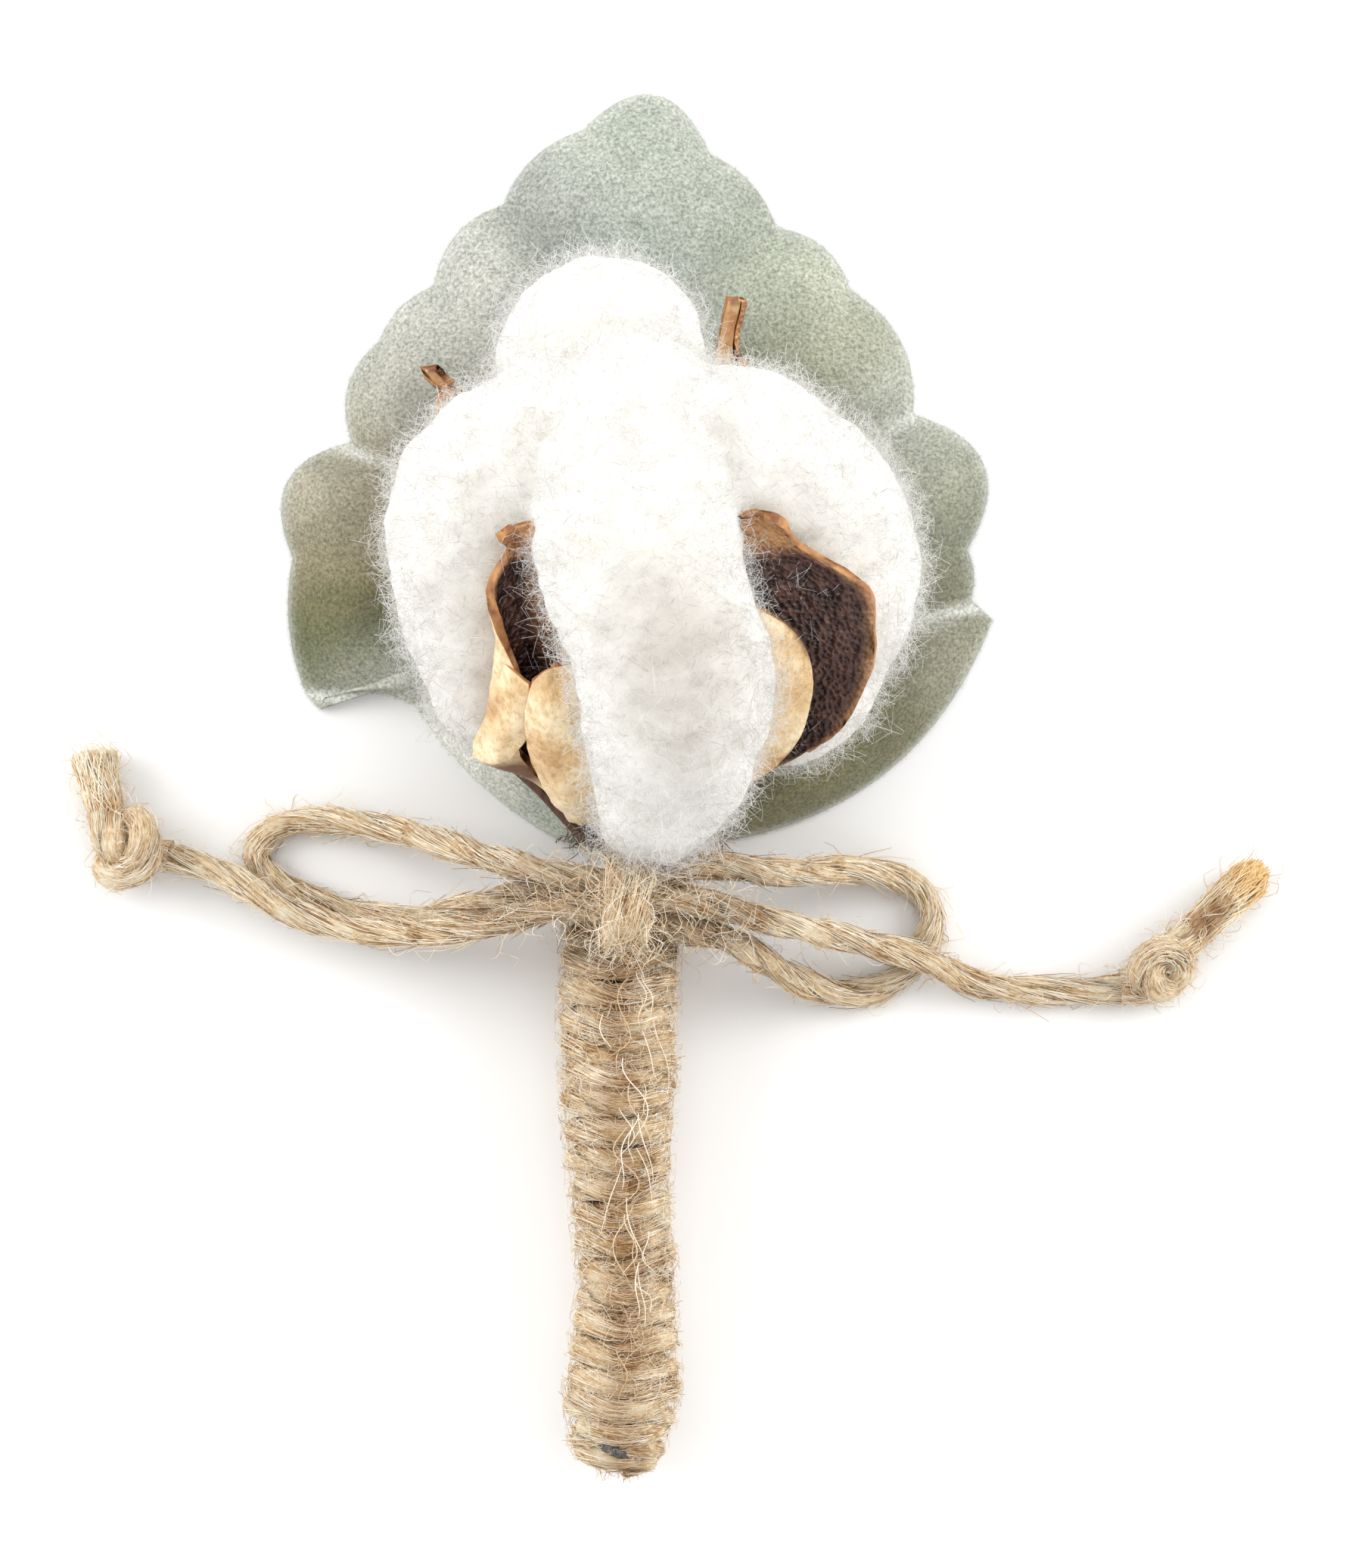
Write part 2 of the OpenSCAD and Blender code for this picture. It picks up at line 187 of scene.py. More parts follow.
def ramp(tree, source, stops):  # three numbers are a screen colour, four a plain factor
    node = addNode(tree, "ShaderNodeValToRGB", {0: source})
    points = node.color_ramp.elements
    while len(points) < len(stops):
        points.new(0.5)
    for point, (at, shade) in zip(points, stops):
        point.position, point.color = at, colour(*shade) if len(shade) == 3 else shade
    return node.outputs[0]


def mix(tree, amount, a, b, blend="MIX"):
    node = addNode(tree, "ShaderNodeMix", {0: amount, 6: a, 7: b}, data_type="RGBA", blend_type=blend)
    return node.outputs[2]


def times(tree, a, b):
    return mix(tree, 1.0, a, b, "MULTIPLY")


def paint(tree, shader, shade):
    tree.links.new(shade, shader.inputs["Base Color"])


def noise(tree, where, scale, detail=3.0, rough=0.5, stretch=None):
    if stretch:
        where = addNode(tree, "ShaderNodeMapping", {0: where, 3: stretch}).outputs[0]
    return addNode(tree, "ShaderNodeTexNoise", {"Vector": where, "Scale": scale, "Detail": detail,
                                                "Roughness": rough}).outputs[0]


def bump(tree, shader, height, depth, strength=1.0):
    node = addNode(tree, "ShaderNodeBump", {"Height": height, "Distance": depth, "Strength": strength})
    tree.links.new(node.outputs[0], shader.inputs["Normal"])


def objectSpace(tree):
    return addNode(tree, "ShaderNodeTexCoord").outputs["Object"]


def attribute(tree, name, output="Fac"):
    return addNode(tree, "ShaderNodeAttribute", attribute_name=name).outputs[output]


def plainFinish(name, dark, light, scale, rough, depth, stretch=None, at=(0.3, 0.7)):
    material, tree, shader = newMaterial(name, rough)
    pattern = noise(tree, objectSpace(tree), scale, 5, 0.65, stretch)
    paint(tree, shader, ramp(tree, pattern, list(zip(at, (dark, light)))))
    bump(tree, shader, pattern, depth, 0.8)
    return material


# Camera
cameraSettings = {"x": 3.4 * mm, "y": 0.0, "away": 2.0, "middle": 18 * mm, "tall": 140.9 * mm}
view = bpy.data.cameras.new("camera")
view.sensor_width = 36
view.lens = view.sensor_width * (cameraSettings["away"] - cameraSettings["middle"]) / cameraSettings["tall"]
view.clip_end = 20
camera = bpy.data.objects.new("camera", view)
camera.location = (cameraSettings["x"], cameraSettings["y"], cameraSettings["away"])
link(camera)
bpy.context.scene.camera = camera
print("camera is up")


# Jute twine
twine = {"thick": 2.5 * mm, "plies": 2, "lay": 14 * mm, "untwist": 0.6, "groove": 0.34, "step": 0.3 * mm,
         "sides": 32, "fibre": 0.1 * mm, "hair": 0.07 * mm}
bowCentre = (-1.2, -11, 12.5)


def spot(tree, shade, centre, scale, tint, most):  # tints a soft spot; its centre is in millimetres
    centre = [c * mm for c in centre]
    where = addNode(tree, "ShaderNodeVectorMath", {0: objectSpace(tree), 1: centre}, operation="SUBTRACT")
    small = addNode(tree, "ShaderNodeVectorMath", {0: where.outputs[0], 1: scale}, operation="MULTIPLY")
    ball = addNode(tree, "ShaderNodeTexGradient", {0: small.outputs[0]}, gradient_type="SPHERICAL")
    return times(tree, shade, ramp(tree, ball.outputs[0], [(0.0, (1, 1, 1, 1)), (most, tint)]))


def bowPaintedShade(tree, shade):  # painted shade: the twine is darker and browner close round the bow
    return spot(tree, shade, bowCentre, (56, 150, 130), (0.3, 0.2, 0.12, 1), 0.75)


def juteMaterial(name, stops):
    material, tree, shader = newMaterial(name, 0.85, 0.15, Sheen_Weight=0.1, Sheen_Roughness=0.5)
    grain = attribute(tree, "grain", "Vector")
    streaks = noise(tree, grain, 11, 6, 0.7)
    patches = noise(tree, objectSpace(tree), 240, 4, 0.6)
    both = addNode(tree, "ShaderNodeMath", {0: streaks, 1: patches}, operation="ADD")
    tone = addNode(tree, "ShaderNodeMath", {0: both.outputs[0], 1: 0.5}, operation="MULTIPLY")
    shade = ramp(tree, tone.outputs[0], stops)
    # painted shade: darker in the grooves between the plies
    shade = mix(tree, attribute(tree, "groove"), shade, colour(96, 70, 46))
    # painted shade: browner down the front middle of the stem winding
    paintedShade = times(tree, shade, (0.55, 0.42, 0.3, 1))
    shade = bowPaintedShade(tree, mix(tree, attribute(tree, "paintedShade"), shade, paintedShade))
    paint(tree, shader, shade)
    bump(tree, shader, streaks, 0.3 * mm)
    return material


def fibreMaterial(name, stops, shadedAtBow=True):
    material, tree, shader = newMaterial(name, 0.75, 0.25, Sheen_Weight=0.05)
    shade = ramp(tree, attribute(tree, "strand"), stops)
    # painted shade: browner down the front middle of the stem winding
    paintedShade = times(tree, shade, (0.62, 0.48, 0.36, 1))
    shade = mix(tree, attribute(tree, "paintedShade"), shade, paintedShade)
    # painted shade: darker and browner close round the bow
    if shadedAtBow:
        shade = bowPaintedShade(tree, shade)
    paint(tree, shader, shade)
    return material


jute = juteMaterial("juteTwine", [(0.4, (134, 96, 60)), (0.46, (212, 175, 128)),
                                  (0.52, (246, 222, 182)), (0.6, (255, 248, 226))])
juteFibre = fibreMaterial("juteFibre", [(0.0, (134, 96, 60)), (0.16, (206, 168, 120)),
                                        (0.4, (248, 226, 188)), (1.0, (255, 252, 240))])
juteHair = fibreMaterial("juteHair", [(0.0, (206, 170, 126)), (0.35, (242, 218, 182)),
                                      (1.0, (255, 250, 236))], False)


def tube(name, line, radii, grain, groove):  # closed tube, one ring of radii for each point of the line
    rings, sides = radii.shape
    along, across, up = carryFrames(line)
    angle = np.linspace(0, 2 * np.pi, sides, endpoint=False)
    spoke = np.cos(angle)[None, :, None] * across[:, None] + np.sin(angle)[None, :, None] * up[:, None]
    verts = np.vstack([(line[:, None] + spoke * radii[:, :, None]).reshape(-1, 3), line[:1], line[-1:]])
    i, k = np.meshgrid(np.arange(rings - 1), np.arange(sides), indexing="ij")
    nextK = (k + 1) % sides
    faces = np.stack([i * sides + k, i * sides + nextK, (i + 1) * sides + nextK, (i + 1) * sides + k],
                     axis=-1).reshape(-1, 4).tolist()
    start, end = rings * sides, rings * sides + 1
    last = (rings - 1) * sides
    for k in range(sides):
        n = (k + 1) % sides
        faces += [(start, n, k), (end, last + k, last + n)]
    piece = newMesh(name, verts, faces)
    pointValues(piece, "grain", np.vstack([grain.reshape(-1, 3), grain[0].mean(0), grain[-1].mean(0)]))
    pointValues(piece, "groove", np.concatenate([groove.ravel(), [0.4, 0.4]]))
    return piece


def plyTurn(line, seed):  # how far the plies have turned at each point of the line
    return 2 * np.pi * lineRun(line) / twine["lay"] + seed * 1.7


def plyRadius(angle, thick):  # radius of the twine at an angle measured from its plies
    ply = np.abs(np.cos(angle * twine["plies"] / 2))
    return thick / 2 * (1 - twine["groove"] + twine["groove"] * ply ** 0.75), ply


def pliedTwine(name, line, thick, seed):
    # Two plies laid round each other, each twisted the other way, so the fibres run nearly straight
    run, turn = lineRun(line)[:, None], plyTurn(line, seed)[:, None]
    angle = np.linspace(0, 2 * np.pi, twine["sides"], endpoint=False)[None, :]
    own = angle - turn
    lean = own + twine["untwist"] * turn
    wobble = 1 + 0.05 * np.sin(run / mm * 0.9 + seed) + 0.04 * np.sin(run / mm * 2.3 + 2 * seed)
    radii, ply = plyRadius(own, thick)
    ridges = 0.02 * np.sin(11 * lean - run / mm * 0.3) + 0.016 * np.sin(17 * lean + run / mm * 0.4 + 1)
    radii = (radii + thick / 2 * ridges) * wobble
    grain = np.stack([np.cos(lean), np.sin(lean), run / mm * 0.13 + 0 * own + seed * 7.1], axis=-1)
    # how deep each point lies in the groove between the plies, which the material darkens as painted shade
    groove = np.clip(1 - ply / 0.4, 0, 1) ** 1.3 * 0.85
    return tube(name, line, radii, grain, groove)


def strands(name, paths, thick, seed, taper=(0.7, 1, 0.45)):  # many thin three-sided closed fibres
    count, points, _ = paths.shape
    random = np.random.default_rng(seed)
    along = unit(np.gradient(paths, axis=1))
    across = unit(np.cross(along, unit(np.cross(along[:, :1], random.normal(size=(count, 1, 3))))))
    up = np.cross(along, across)
    size = thick / 2 * np.interp(np.linspace(0, 1, points), (0, 0.4, 1), taper)[None, :, None, None]
    angle = np.array([0, 2 * np.pi / 3, 4 * np.pi / 3])
    ring = np.cos(angle)[:, None] * across[:, :, None] + np.sin(angle)[:, None] * up[:, :, None]
    verts = (paths[:, :, None] + ring * size).reshape(-1, 3)
    cell = np.array([[3 * i + k, 3 * i + (k + 1) % 3, 3 * i + 3 + (k + 1) % 3, 3 * i + 3 + k]
                     for i in range(points - 1) for k in range(3)])
    first = np.arange(count)[:, None, None] * points * 3
    quads = (first + cell[None]).reshape(-1, 4)
    ends = np.array([[2, 1, 0], [3 * points - 3, 3 * points - 2, 3 * points - 1]])
    caps = (first + ends[None]).reshape(-1, 3)
    piece = newMesh(name, verts, quads.tolist() + caps.tolist())
    pointValues(piece, "strand", np.repeat(random.random(count), points * 3))
    return piece


def curlyPaths(roots, heading, length, curl, points, seed):  # fibres that leave their roots and curl
    random = np.random.default_rng(seed)
    count = len(roots)
    heading = unit(heading)
    across = unit(np.cross(heading, random.normal(size=(count, 3))))
    up = np.cross(heading, across)
    t = np.linspace(0, 1, points)[None, :, None]
    length = np.broadcast_to(length, (count,))[:, None, None]
    path = roots[:, None] + heading[:, None] * length * t * (1 - 0.25 * curl * t)
    for direction in (across, up):
        phase, turns = random.uniform(0, 2 * np.pi, (2, count, 1, 1))
        turns = 2 + 0.9 * turns
        size = random.uniform(0.3, 1, (count, 1, 1)) * curl * length * 0.3
        path = path + direction[:, None] * size * (np.sin(phase + turns * t) - np.sin(phase))
    return path


def scatter(piece, count, seed):  # points spread evenly over a piece, with their normals
    mesh = piece.data
    mesh.calc_loop_triangles()
    points = np.zeros(len(mesh.vertices) * 3)
    mesh.vertices.foreach_get("co", points)
    corner = np.zeros(len(mesh.loop_triangles) * 3, np.int32)
    mesh.loop_triangles.foreach_get("vertices", corner)
    a, b, c = (points.reshape(-1, 3)[corner.reshape(-1, 3)[:, k]] for k in range(3))
    normal = np.cross(b - a, c - a)
    area = np.linalg.norm(normal, axis=1)
    random = np.random.default_rng(seed)
    pick = random.choice(len(area), count, p=area / area.sum())
    u, v = random.random((2, count, 1))
    u, v = np.where(u + v > 1, 1 - u, u), np.where(u + v > 1, 1 - v, v)
    return a[pick] + u * (b - a)[pick] + v * (c - a)[pick], unit(normal[pick])


def laidFibres(name, line, thick, count, seed, laySeed, length=(4, 10), outward=None):
    # Coarse fibres that lie along the plies, some with an end lifting off
    random = np.random.default_rng(seed)
    run, turn = lineRun(line), plyTurn(line, laySeed)
    _, across, up = carryFrames(line)
    points = 6
    t = np.linspace(0, 1, points)[None]
    many = count * (2 if outward is not None else 1)
    reach = random.uniform(*length, (many, 1)) * mm
    s = np.clip(random.uniform(0, run[-1], (many, 1)) + reach * (t - 0.5), 0, run[-1])
    at = np.clip(s / run[-1], 0, 1) * (len(line) - 1)
    i = np.minimum(at.astype(int), len(line) - 2)
    f = (at - i)[..., None]
    turned = np.interp(s, run, turn)
    own = random.uniform(0, 2 * np.pi, (many, 1)) - twine["untwist"] * (turned - turned[:, :1])
    own = own + random.normal(0, 0.35, (many, 1)) * (t - 0.5) * reach / (6 * mm)
    radius = plyRadius(own, thick)[0] + random.uniform(-0.3, 0.5, (many, 1)) * twine["fibre"]
    radius = radius + random.exponential(0.22, (many, 1)) * mm * t ** 3
    angle = (own + turned)[..., None]
    across, up = across[i] * (1 - f) + across[i + 1] * f, up[i] * (1 - f) + up[i + 1] * f
    spoke = unit(np.cos(angle) * across + np.sin(angle) * up)
    paths = line[i] * (1 - f) + line[i + 1] * f + spoke * radius[..., None]
    if outward is not None:
        paths = paths[outward(paths[:, points // 2], spoke[:, points // 2])][:count]
    keepAbove(paths, 0.05)
    return strands(name, paths, twine["fibre"], seed)


def looseHair(name, piece, line, count, seed, length=(1, 3.5), lift=0.25):
    random = np.random.default_rng(seed)
    roots, normal = scatter(piece, count, seed)
    near = np.array([np.argmin(((line - r) ** 2).sum(1)) for r in roots])
    along = unit(np.gradient(line, axis=0))[near] * random.choice([-1, 1], (count, 1))
    heading = along + normal * random.uniform(0, 1, (count, 1)) * lift + random.normal(0, 0.3, (count, 3))
    paths = curlyPaths(roots, heading, random.uniform(*length, count) * mm, 0.9, 6, seed)
    keepAbove(paths, 0.05)
    return strands(name, paths, twine["hair"], seed)


low = 1.3  # height of the twine's middle where it lies on the table
bow = {
    "loopLeft": [(-2.5, -9.3, 16), (-9, -7.7, 14.5), (-14.5, -6.3, 10), (-20, -4.6, 5.5), (-26, -3.4, 2.2),
                 (-31, -3.4, low), (-33.6, -4.8, low), (-34.4, -7, low), (-31.2, -9.7, 1.4),
                 (-26, -11.6, 1.8), (-20, -12.2, 4.2), (-14, -10.8, 8.5), (-8.2, -9.7, 13),
                 (-2.5, -10.4, 15)],
    "loopRight": [(1, -9, 16), (6, -7.3, 14.5), (13, -8, 9), (20, -7.7, 3.5), (24.4, -8.8, 1.5),
                  (26.6, -11.4, low), (26.4, -14, low), (25.2, -16, low), (23.6, -17.6, low),
                  (21.2, -18.8, low), (17.3, -18.8, 2.2), (13.6, -17.3, 5), (8.8, -14.3, 10),
                  (4.6, -13, 13.8), (1, -11.5, 15)],
    "tailLeft": [(-2.5, -11.4, 17), (-6.3, -11, 16.5), (-10.2, -11.9, 14.8), (-16, -13.2, 10.8),
                 (-22, -13.5, 6.8), (-27.7, -12.8, 4.4), (-32.8, -10.8, 4), (-37.5, -8.1, 2.8),
                 (-42.6, -6.5, 2.6)],
    "tailRight": [(1, -10.4, 17), (6, -10.7, 15.5), (12.5, -12.5, 11), (19, -14, 6), (25.6, -15.8, 4),
                  (31, -18.1, 1.8), (38.6, -18.8, low), (44.2, -18.4, 2)],
    "fibres": 17, "hairs": 4.5,  # for each millimetre of twine
    "slim": 0.97,  # share of the full thickness, which the fibres then fill
    "lengths": {"loopLeft": 0.0755, "loopRight": 0.07, "tailLeft": 0.0445, "tailRight": 0.048},
}
# The overhand knots, from where the twine comes in to where the brushed end leaves
knots = {
    "left": {"at": (-45.9, -5.6, 3.4), "thick": 3.2, "lay": 21,
             "route": [(3.6, -0.9, -0.9), (1.4, -0.6, -1.3), (-0.8, -0.8, -1.3), (-1.8, -1.8, -0.5),
                       (-1.0, -2.4, 0.6), (0.7, -1.8, 1.4), (1.4, -0.2, 1.6), (1.2, 1.5, 1.2),
                       (0.2, 2.0, 0), (-0.2, 0.8, -1.0), (-0.8, -0.6, -0.4), (-1.6, -0.2, 0.7),
                       (-2.0, 1.4, 0.5), (-2.3, 2.9, 0)]},
    "right": {"at": (47.6, -16.5, 3.4), "thick": 3.2, "lay": 22,
              "route": [(-3.8, -1.8, -1.1), (-2.0, -1.7, -1.2), (0, -1.5, -1.1), (1.4, -0.4, -0.5),
                        (1.2, 0.9, 0.7), (0, 1.3, 1.4), (-1.2, 0.6, 1.6), (-1.5, -0.8, 1.1),
                        (-0.7, -1.8, 0.2), (0.6, -1.2, -0.8), (0.6, 0.2, -0.6), (0.2, 1.0, 0.4),
                        (1.2, 1.6, 0.5), (2.6, 2.9, 0)]},
    "fibres": 650, "hairs": 200,
}
tufts = {
    "left": {"route": [(-47.8, -3.6, 3.2), (-48.4, -1.2, 2.9), (-48.9, 1.2, 2.5), (-49.2, 3.1, 2.3)],
             "wide": [1.5, 1.7, 1.9, 2.25], "seed": 31, "round": 0.06},
    "right": {"route": [(49.0, -14.8, 3.4), (51.2, -12.7, 3.0), (54.0, -10.1, 2.5), (56.9, -7.2, 2.3)],
              "wide": [1.4, 1.65, 1.8, 1.75], "seed": 32, "round": 0.16},
    "fibres": 850, "thick": 0.15, "hairs": 260,
}


def makeTuft(side):
    # Unspun fibres that spread a little towards their cut end
    facts = tufts[side]
    random = np.random.default_rng(facts["seed"])
    line = smoothLine(np.array(facts["route"]) * mm, 0.5 * mm)
    run = lineRun(line) / lineRun(line)[-1]
    wide = np.interp(run, np.linspace(0, 1, len(facts["wide"])), facts["wide"]) * mm
    _, across, up = carryFrames(line)
    count, points = tufts["fibres"], 8
    angle, out = random.uniform(0, 2 * np.pi, count), np.sqrt(random.uniform(0.05, 1, count))
    swirl = random.normal(0, 0.9, count)
    stop = 1.02 - facts["round"] * out ** 2 - random.uniform(0, 0.1, count)
    wave, phase = random.normal(0, 0.12, count) * mm, random.uniform(0, 6.3, count)
    paths = np.zeros((count, points, 3))
    for j, f in enumerate(np.linspace(0, 1, points)):
        at = np.minimum(f * stop, 1) * (len(line) - 1)
        i = np.minimum(at.astype(int), len(line) - 2)
        mid = line[i] + (line[i + 1] - line[i]) * (at - i)[:, None]
        turned = angle + swirl * f
        size = (wide[i] * out + wave * np.sin(7 * f + phase))[:, None]
        paths[:, j] = mid + (np.cos(turned)[:, None] * across[i] + np.sin(turned)[:, None] * up[i]) * size
        paths[:, j] += random.normal(0, 0.06 * mm, (count, 3))
    keepAbove(paths, 0.1)
    piece = strands("tail_brush_" + side, paths, tufts["thick"] * mm, facts["seed"], (1, 1, 0.8))
    pointValues(piece, "along", np.repeat(np.tile(np.linspace(0, 1, points), count), 3))
    return piece


def brushMaterial(name, tip):
    material, tree, shader = newMaterial(name, 0.7, 0.3, Sheen_Weight=0.25)
    own = ramp(tree, attribute(tree, "strand"), [(0.0, (218, 184, 138)), (0.25, (243, 220, 182)),
                                                 (0.7, (252, 240, 214)), (1.0, (255, 250, 236))])
    root = ramp(tree, attribute(tree, "along"), [(0.0, (206, 168, 124)), (0.45, (1, 1, 1, 1))])
    shade = times(tree, own, root)
    if tip:
        end = ramp(tree, attribute(tree, "along"), [(0.6, (1, 1, 1, 1)), (1.0, (247, 220, 168))])
        shade = times(tree, shade, end)
        # painted shade: a darker hollow down the middle of the right brush
        for x, y in ((51, -13), (52, -12), (53, -11)):
            shade = spot(tree, shade, (x, y, 4.6), (620, 620, 420), (0.6, 0.48, 0.36, 1), 0.45)
    paint(tree, shader, shade)
    return material


def layTwine(node, line, thick, seed, count, fibreSeed, look=juteFibre, length=(4, 10)):
    # The twine that stands for a node, and the fibres laid along it
    piece = place(pliedTwine(node + "_twine", line, thick, seed), jute, [node])
    fibres = laidFibres(node + "_fibres", line, thick, count, fibreSeed, seed, length)
    return piece, place(fibres, look)


def makeBow():
    made = {}
    for seed, name in enumerate(bow["lengths"], 1):
        node = f"bow_{name[:4]}_{name[4:].lower()}"
        line = smoothLine(np.array(bow[name]) * mm, twine["step"])
        long = lineRun(line)[-1] / mm
        piece, fibres = layTwine(node, line, twine["thick"] * bow["slim"], seed, int(long * bow["fibres"]),
                                 seed + 70)
        hair = looseHair(node + "_hair", piece, line, int(long * bow["hairs"]), seed + 10)
        made[name] = (piece, [fibres, place(hair, juteHair)], line)
    for side in ("left", "right"):
        facts, node = knots[side], f"tail_knot_{side}"
        lay = facts["lay"]
        line = smoothLine((np.array(facts["route"]) + facts["at"]) * mm, twine["step"])
        knot, fibres = layTwine(node, line, facts["thick"] * mm, lay, knots["fibres"], lay + 30, juteHair,
                                (3, 7))
        hair = place(looseHair(node + "_hair", knot, line, knots["hairs"], lay + 20), juteHair)
        brush = makeTuft(side)
        place(brush, brushMaterial("brushedEnd" + side, side == "right"), [f"tail_end_{side}"])
        line = smoothLine(np.array(tufts[side]["route"]) * mm, twine["step"])
        fluff = looseHair(f"tail_brush_{side}_hair", brush, line, tufts["hairs"], lay + 40, (1.5, 4), 0.35)
        place(fluff, juteHair)
        made["tail" + side.capitalize()][1].extend([knot, fibres, hair, brush, fluff])
    for name, length in bow["lengths"].items():
        piece, others, line = made[name]


makeBow()
print("bow tied")


# Wound stem, band and bow knot
wrapLow, wrapHigh = (np.array(c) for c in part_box("stem_wrap"))
stemZ = (wrapLow[2] + wrapHigh[2]) / 2
winding = {
    "pitch": 2.5 * mm, "thick": 2.9 * mm, "dip": 1.0 * mm,
    # y, width over the winding, x of its middle
    "shape": [(-7, 9.4, -1.3), (-14, 10.4, -1.4), (-18, 10.8, -1.6), (-24, 10.8, -1.7), (-30, 10.3, -1.6),
              (-36, 9.3, -1.6), (-42, 9.0, -1.1), (-46, 9.0, -0.8), (-50, 9.8, -1.2), (-54, 10.5, -1.3),
              (-57.5, 9.8, -1.4), (-59.6, 8.8, -1.6), (-61.1, 7, -1.7), (-61.15, 5, -1.8),
              (-61.2, 3.2, -1.8)],
    "fibres": 5000, "hairs": 3800, "strays": 26, "end": -62.9 * mm,
    "butt": -0.0605,  # the closing turns lie beyond this y, and are fuzzy all round
    "turnPoints": 60, "endTurns": 1.5, "endPoints": 90,
    "stub": [(-3.3, -59.3, 9.9), (-2.4, -59.8, 10.8), (-1.5, -60.2, 10.6), (-0.8, -60.4, 9.7)],
}


def stemAt(y, column):  # width of the winding (column 1) or x of its middle (column 2)
    shape = np.array(winding["shape"]) * mm
    return np.interp(-y, -shape[:, 0], shape[:, column])


def stemPaintedShade(points):  # painted shade: the front of the winding is browner down its middle
    middle = stemAt(points[:, 1], 2)
    wave = 0.5 * np.sin(points[:, 1] / mm * 0.7) * mm
    front = np.clip((points[:, 2] - stemZ) / (2 * mm), 0, 1)
    return np.exp(-((points[:, 0] - middle - wave) / (1.9 * mm)) ** 2) * front * 0.85


def meshPoints(piece):
    points = np.zeros(len(piece.data.vertices) * 3)
    piece.data.vertices.foreach_get("co", points)
    return points.reshape(-1, 3)


def offAxis(paths):  # sideways offset from the stem's axis, and the winding's radius there
    offset = paths - [0, 0, stemZ]
    offset[..., 0] -= stemAt(paths[..., 1], 2)
    offset[..., 1] = 0
    return offset, stemAt(paths[..., 1], 1)[..., None] / 2


def makeWinding():
    taper, shoulder, _, end = np.array(winding["shape"])[-4:, 0] * mm
    thick, many = winding["thick"], winding["endPoints"]
    top = wrapHigh[1] - thick / 2
    turns = (top - taper) / winding["pitch"]
    t = np.linspace(0, 1, int(turns * winding["turnPoints"]))
    y = np.concatenate([top + (taper - top) * t, np.linspace(taper, end, many)[1:]])
    closing = turns + np.linspace(0, winding["endTurns"], many)[1:]
    turn = -2 * np.pi * np.concatenate([turns * t, closing])
    jitter = np.random.default_rng(5).normal(0, 1, int(turns * 3) + 6)
    slack = np.interp(-turn / (2 * np.pi) * 3, np.arange(len(jitter)), jitter)
    radius = np.maximum(stemAt(y, 1) / 2 - thick / 2, 0.4 * mm) + slack * 0.13 * mm
    front = (turn + np.pi) % (2 * np.pi) - np.pi
    fade = np.clip((y - shoulder) / (4 * mm), 0, 1)
    dip = winding["dip"] * (np.exp(-(front / 0.75) ** 2) - 0.4) * fade
    line = np.stack([stemAt(y, 2) + radius * np.sin(turn), y - dip + slack * 0.2 * mm,
                     stemZ + radius * np.cos(turn)], axis=1)
    line = smoothLine(line[::4], 0.32 * mm)
    coil = pliedTwine("stem_winding", line, thick, 3)
    # painted shade down the front middle of the winding, read by the materials
    pointValues(coil, "paintedShade", stemPaintedShade(meshPoints(coil)))
    place(coil, jute, ["stem_wrap"])

    def outside(points, spoke):
        offset, _ = offAxis(points)
        facing = (unit(offset) * spoke).sum(1)
        return (facing > 0.25) | (points[:, 1] < winding["butt"])

    fibres = laidFibres("stem_fibres", line, thick, winding["fibres"], 77, 3, (3, 8), outside)
    pointValues(fibres, "paintedShade", stemPaintedShade(meshPoints(fibres)))
    place(fibres, juteFibre)
    random = np.random.default_rng(6)
    roots, normal = scatter(coil, winding["hairs"] * 3, 7)
    keep = outside(roots, normal)
    roots, normal = roots[keep][:winding["hairs"]], normal[keep][:winding["hairs"]]
    count = len(roots)
    around = np.cross(normal, (0, 1, 0)) * random.choice([-1, 1], (count, 1))
    heading = around + random.normal(0, 1, (count, 3))
    heading -= normal * (heading * normal).sum(1)[:, None] * 0.8
    paths = curlyPaths(roots, heading, random.uniform(1, 3.6, count) * mm, 1.1, 7, 8)
    offset, here = offAxis(paths)
    far = np.linalg.norm(offset, axis=2, keepdims=True)
    paths += unit(offset) * (np.clip(far, here * 0.95, here + 0.35 * mm) - far)
    paths[..., 1] = np.maximum(paths[..., 1], winding["end"])
    hair = strands("stem_hair", paths, 0.055 * mm, 9)
    pointValues(hair, "paintedShade", stemPaintedShade(meshPoints(hair)) * 0.5)
    place(hair, juteHair)
    # Long strays that run down the front
    count = winding["strays"]
    begin = np.stack([random.normal(-0.2, 1.2, count), random.uniform(-52, -16, count),
                      np.full(count, 13)], axis=1)
    paths = curlyPaths(begin * mm, np.array([(0.1, -1, 0)]) + random.normal(0, 0.22, (count, 3)) * [1, 1, 0],
                       random.uniform(3, 9, count) * mm, 0.5, 14, 91)
    offset, here = offAxis(paths)
    lift = random.uniform(0, 0.5, (count, 1, 1)) * mm
    paths += unit(offset) * (here + lift - np.linalg.norm(offset, axis=2, keepdims=True))
    place(strands("stem_strays", paths, 0.13 * mm, 92), juteHair)
    # The blunt taped end of the bundle shows between the last turns
    line = smoothLine(np.array(winding["stub"]) * mm, 0.2 * mm)
    stub = pliedTwine("stem_end", line, 1.7 * mm, 6)
    finish = plainFinish("tapedEnd", (36, 34, 34), (120, 114, 108), 1800, 0.85, 0.4 * mm, at=(0.35, 0.65))
    place(stub, finish)


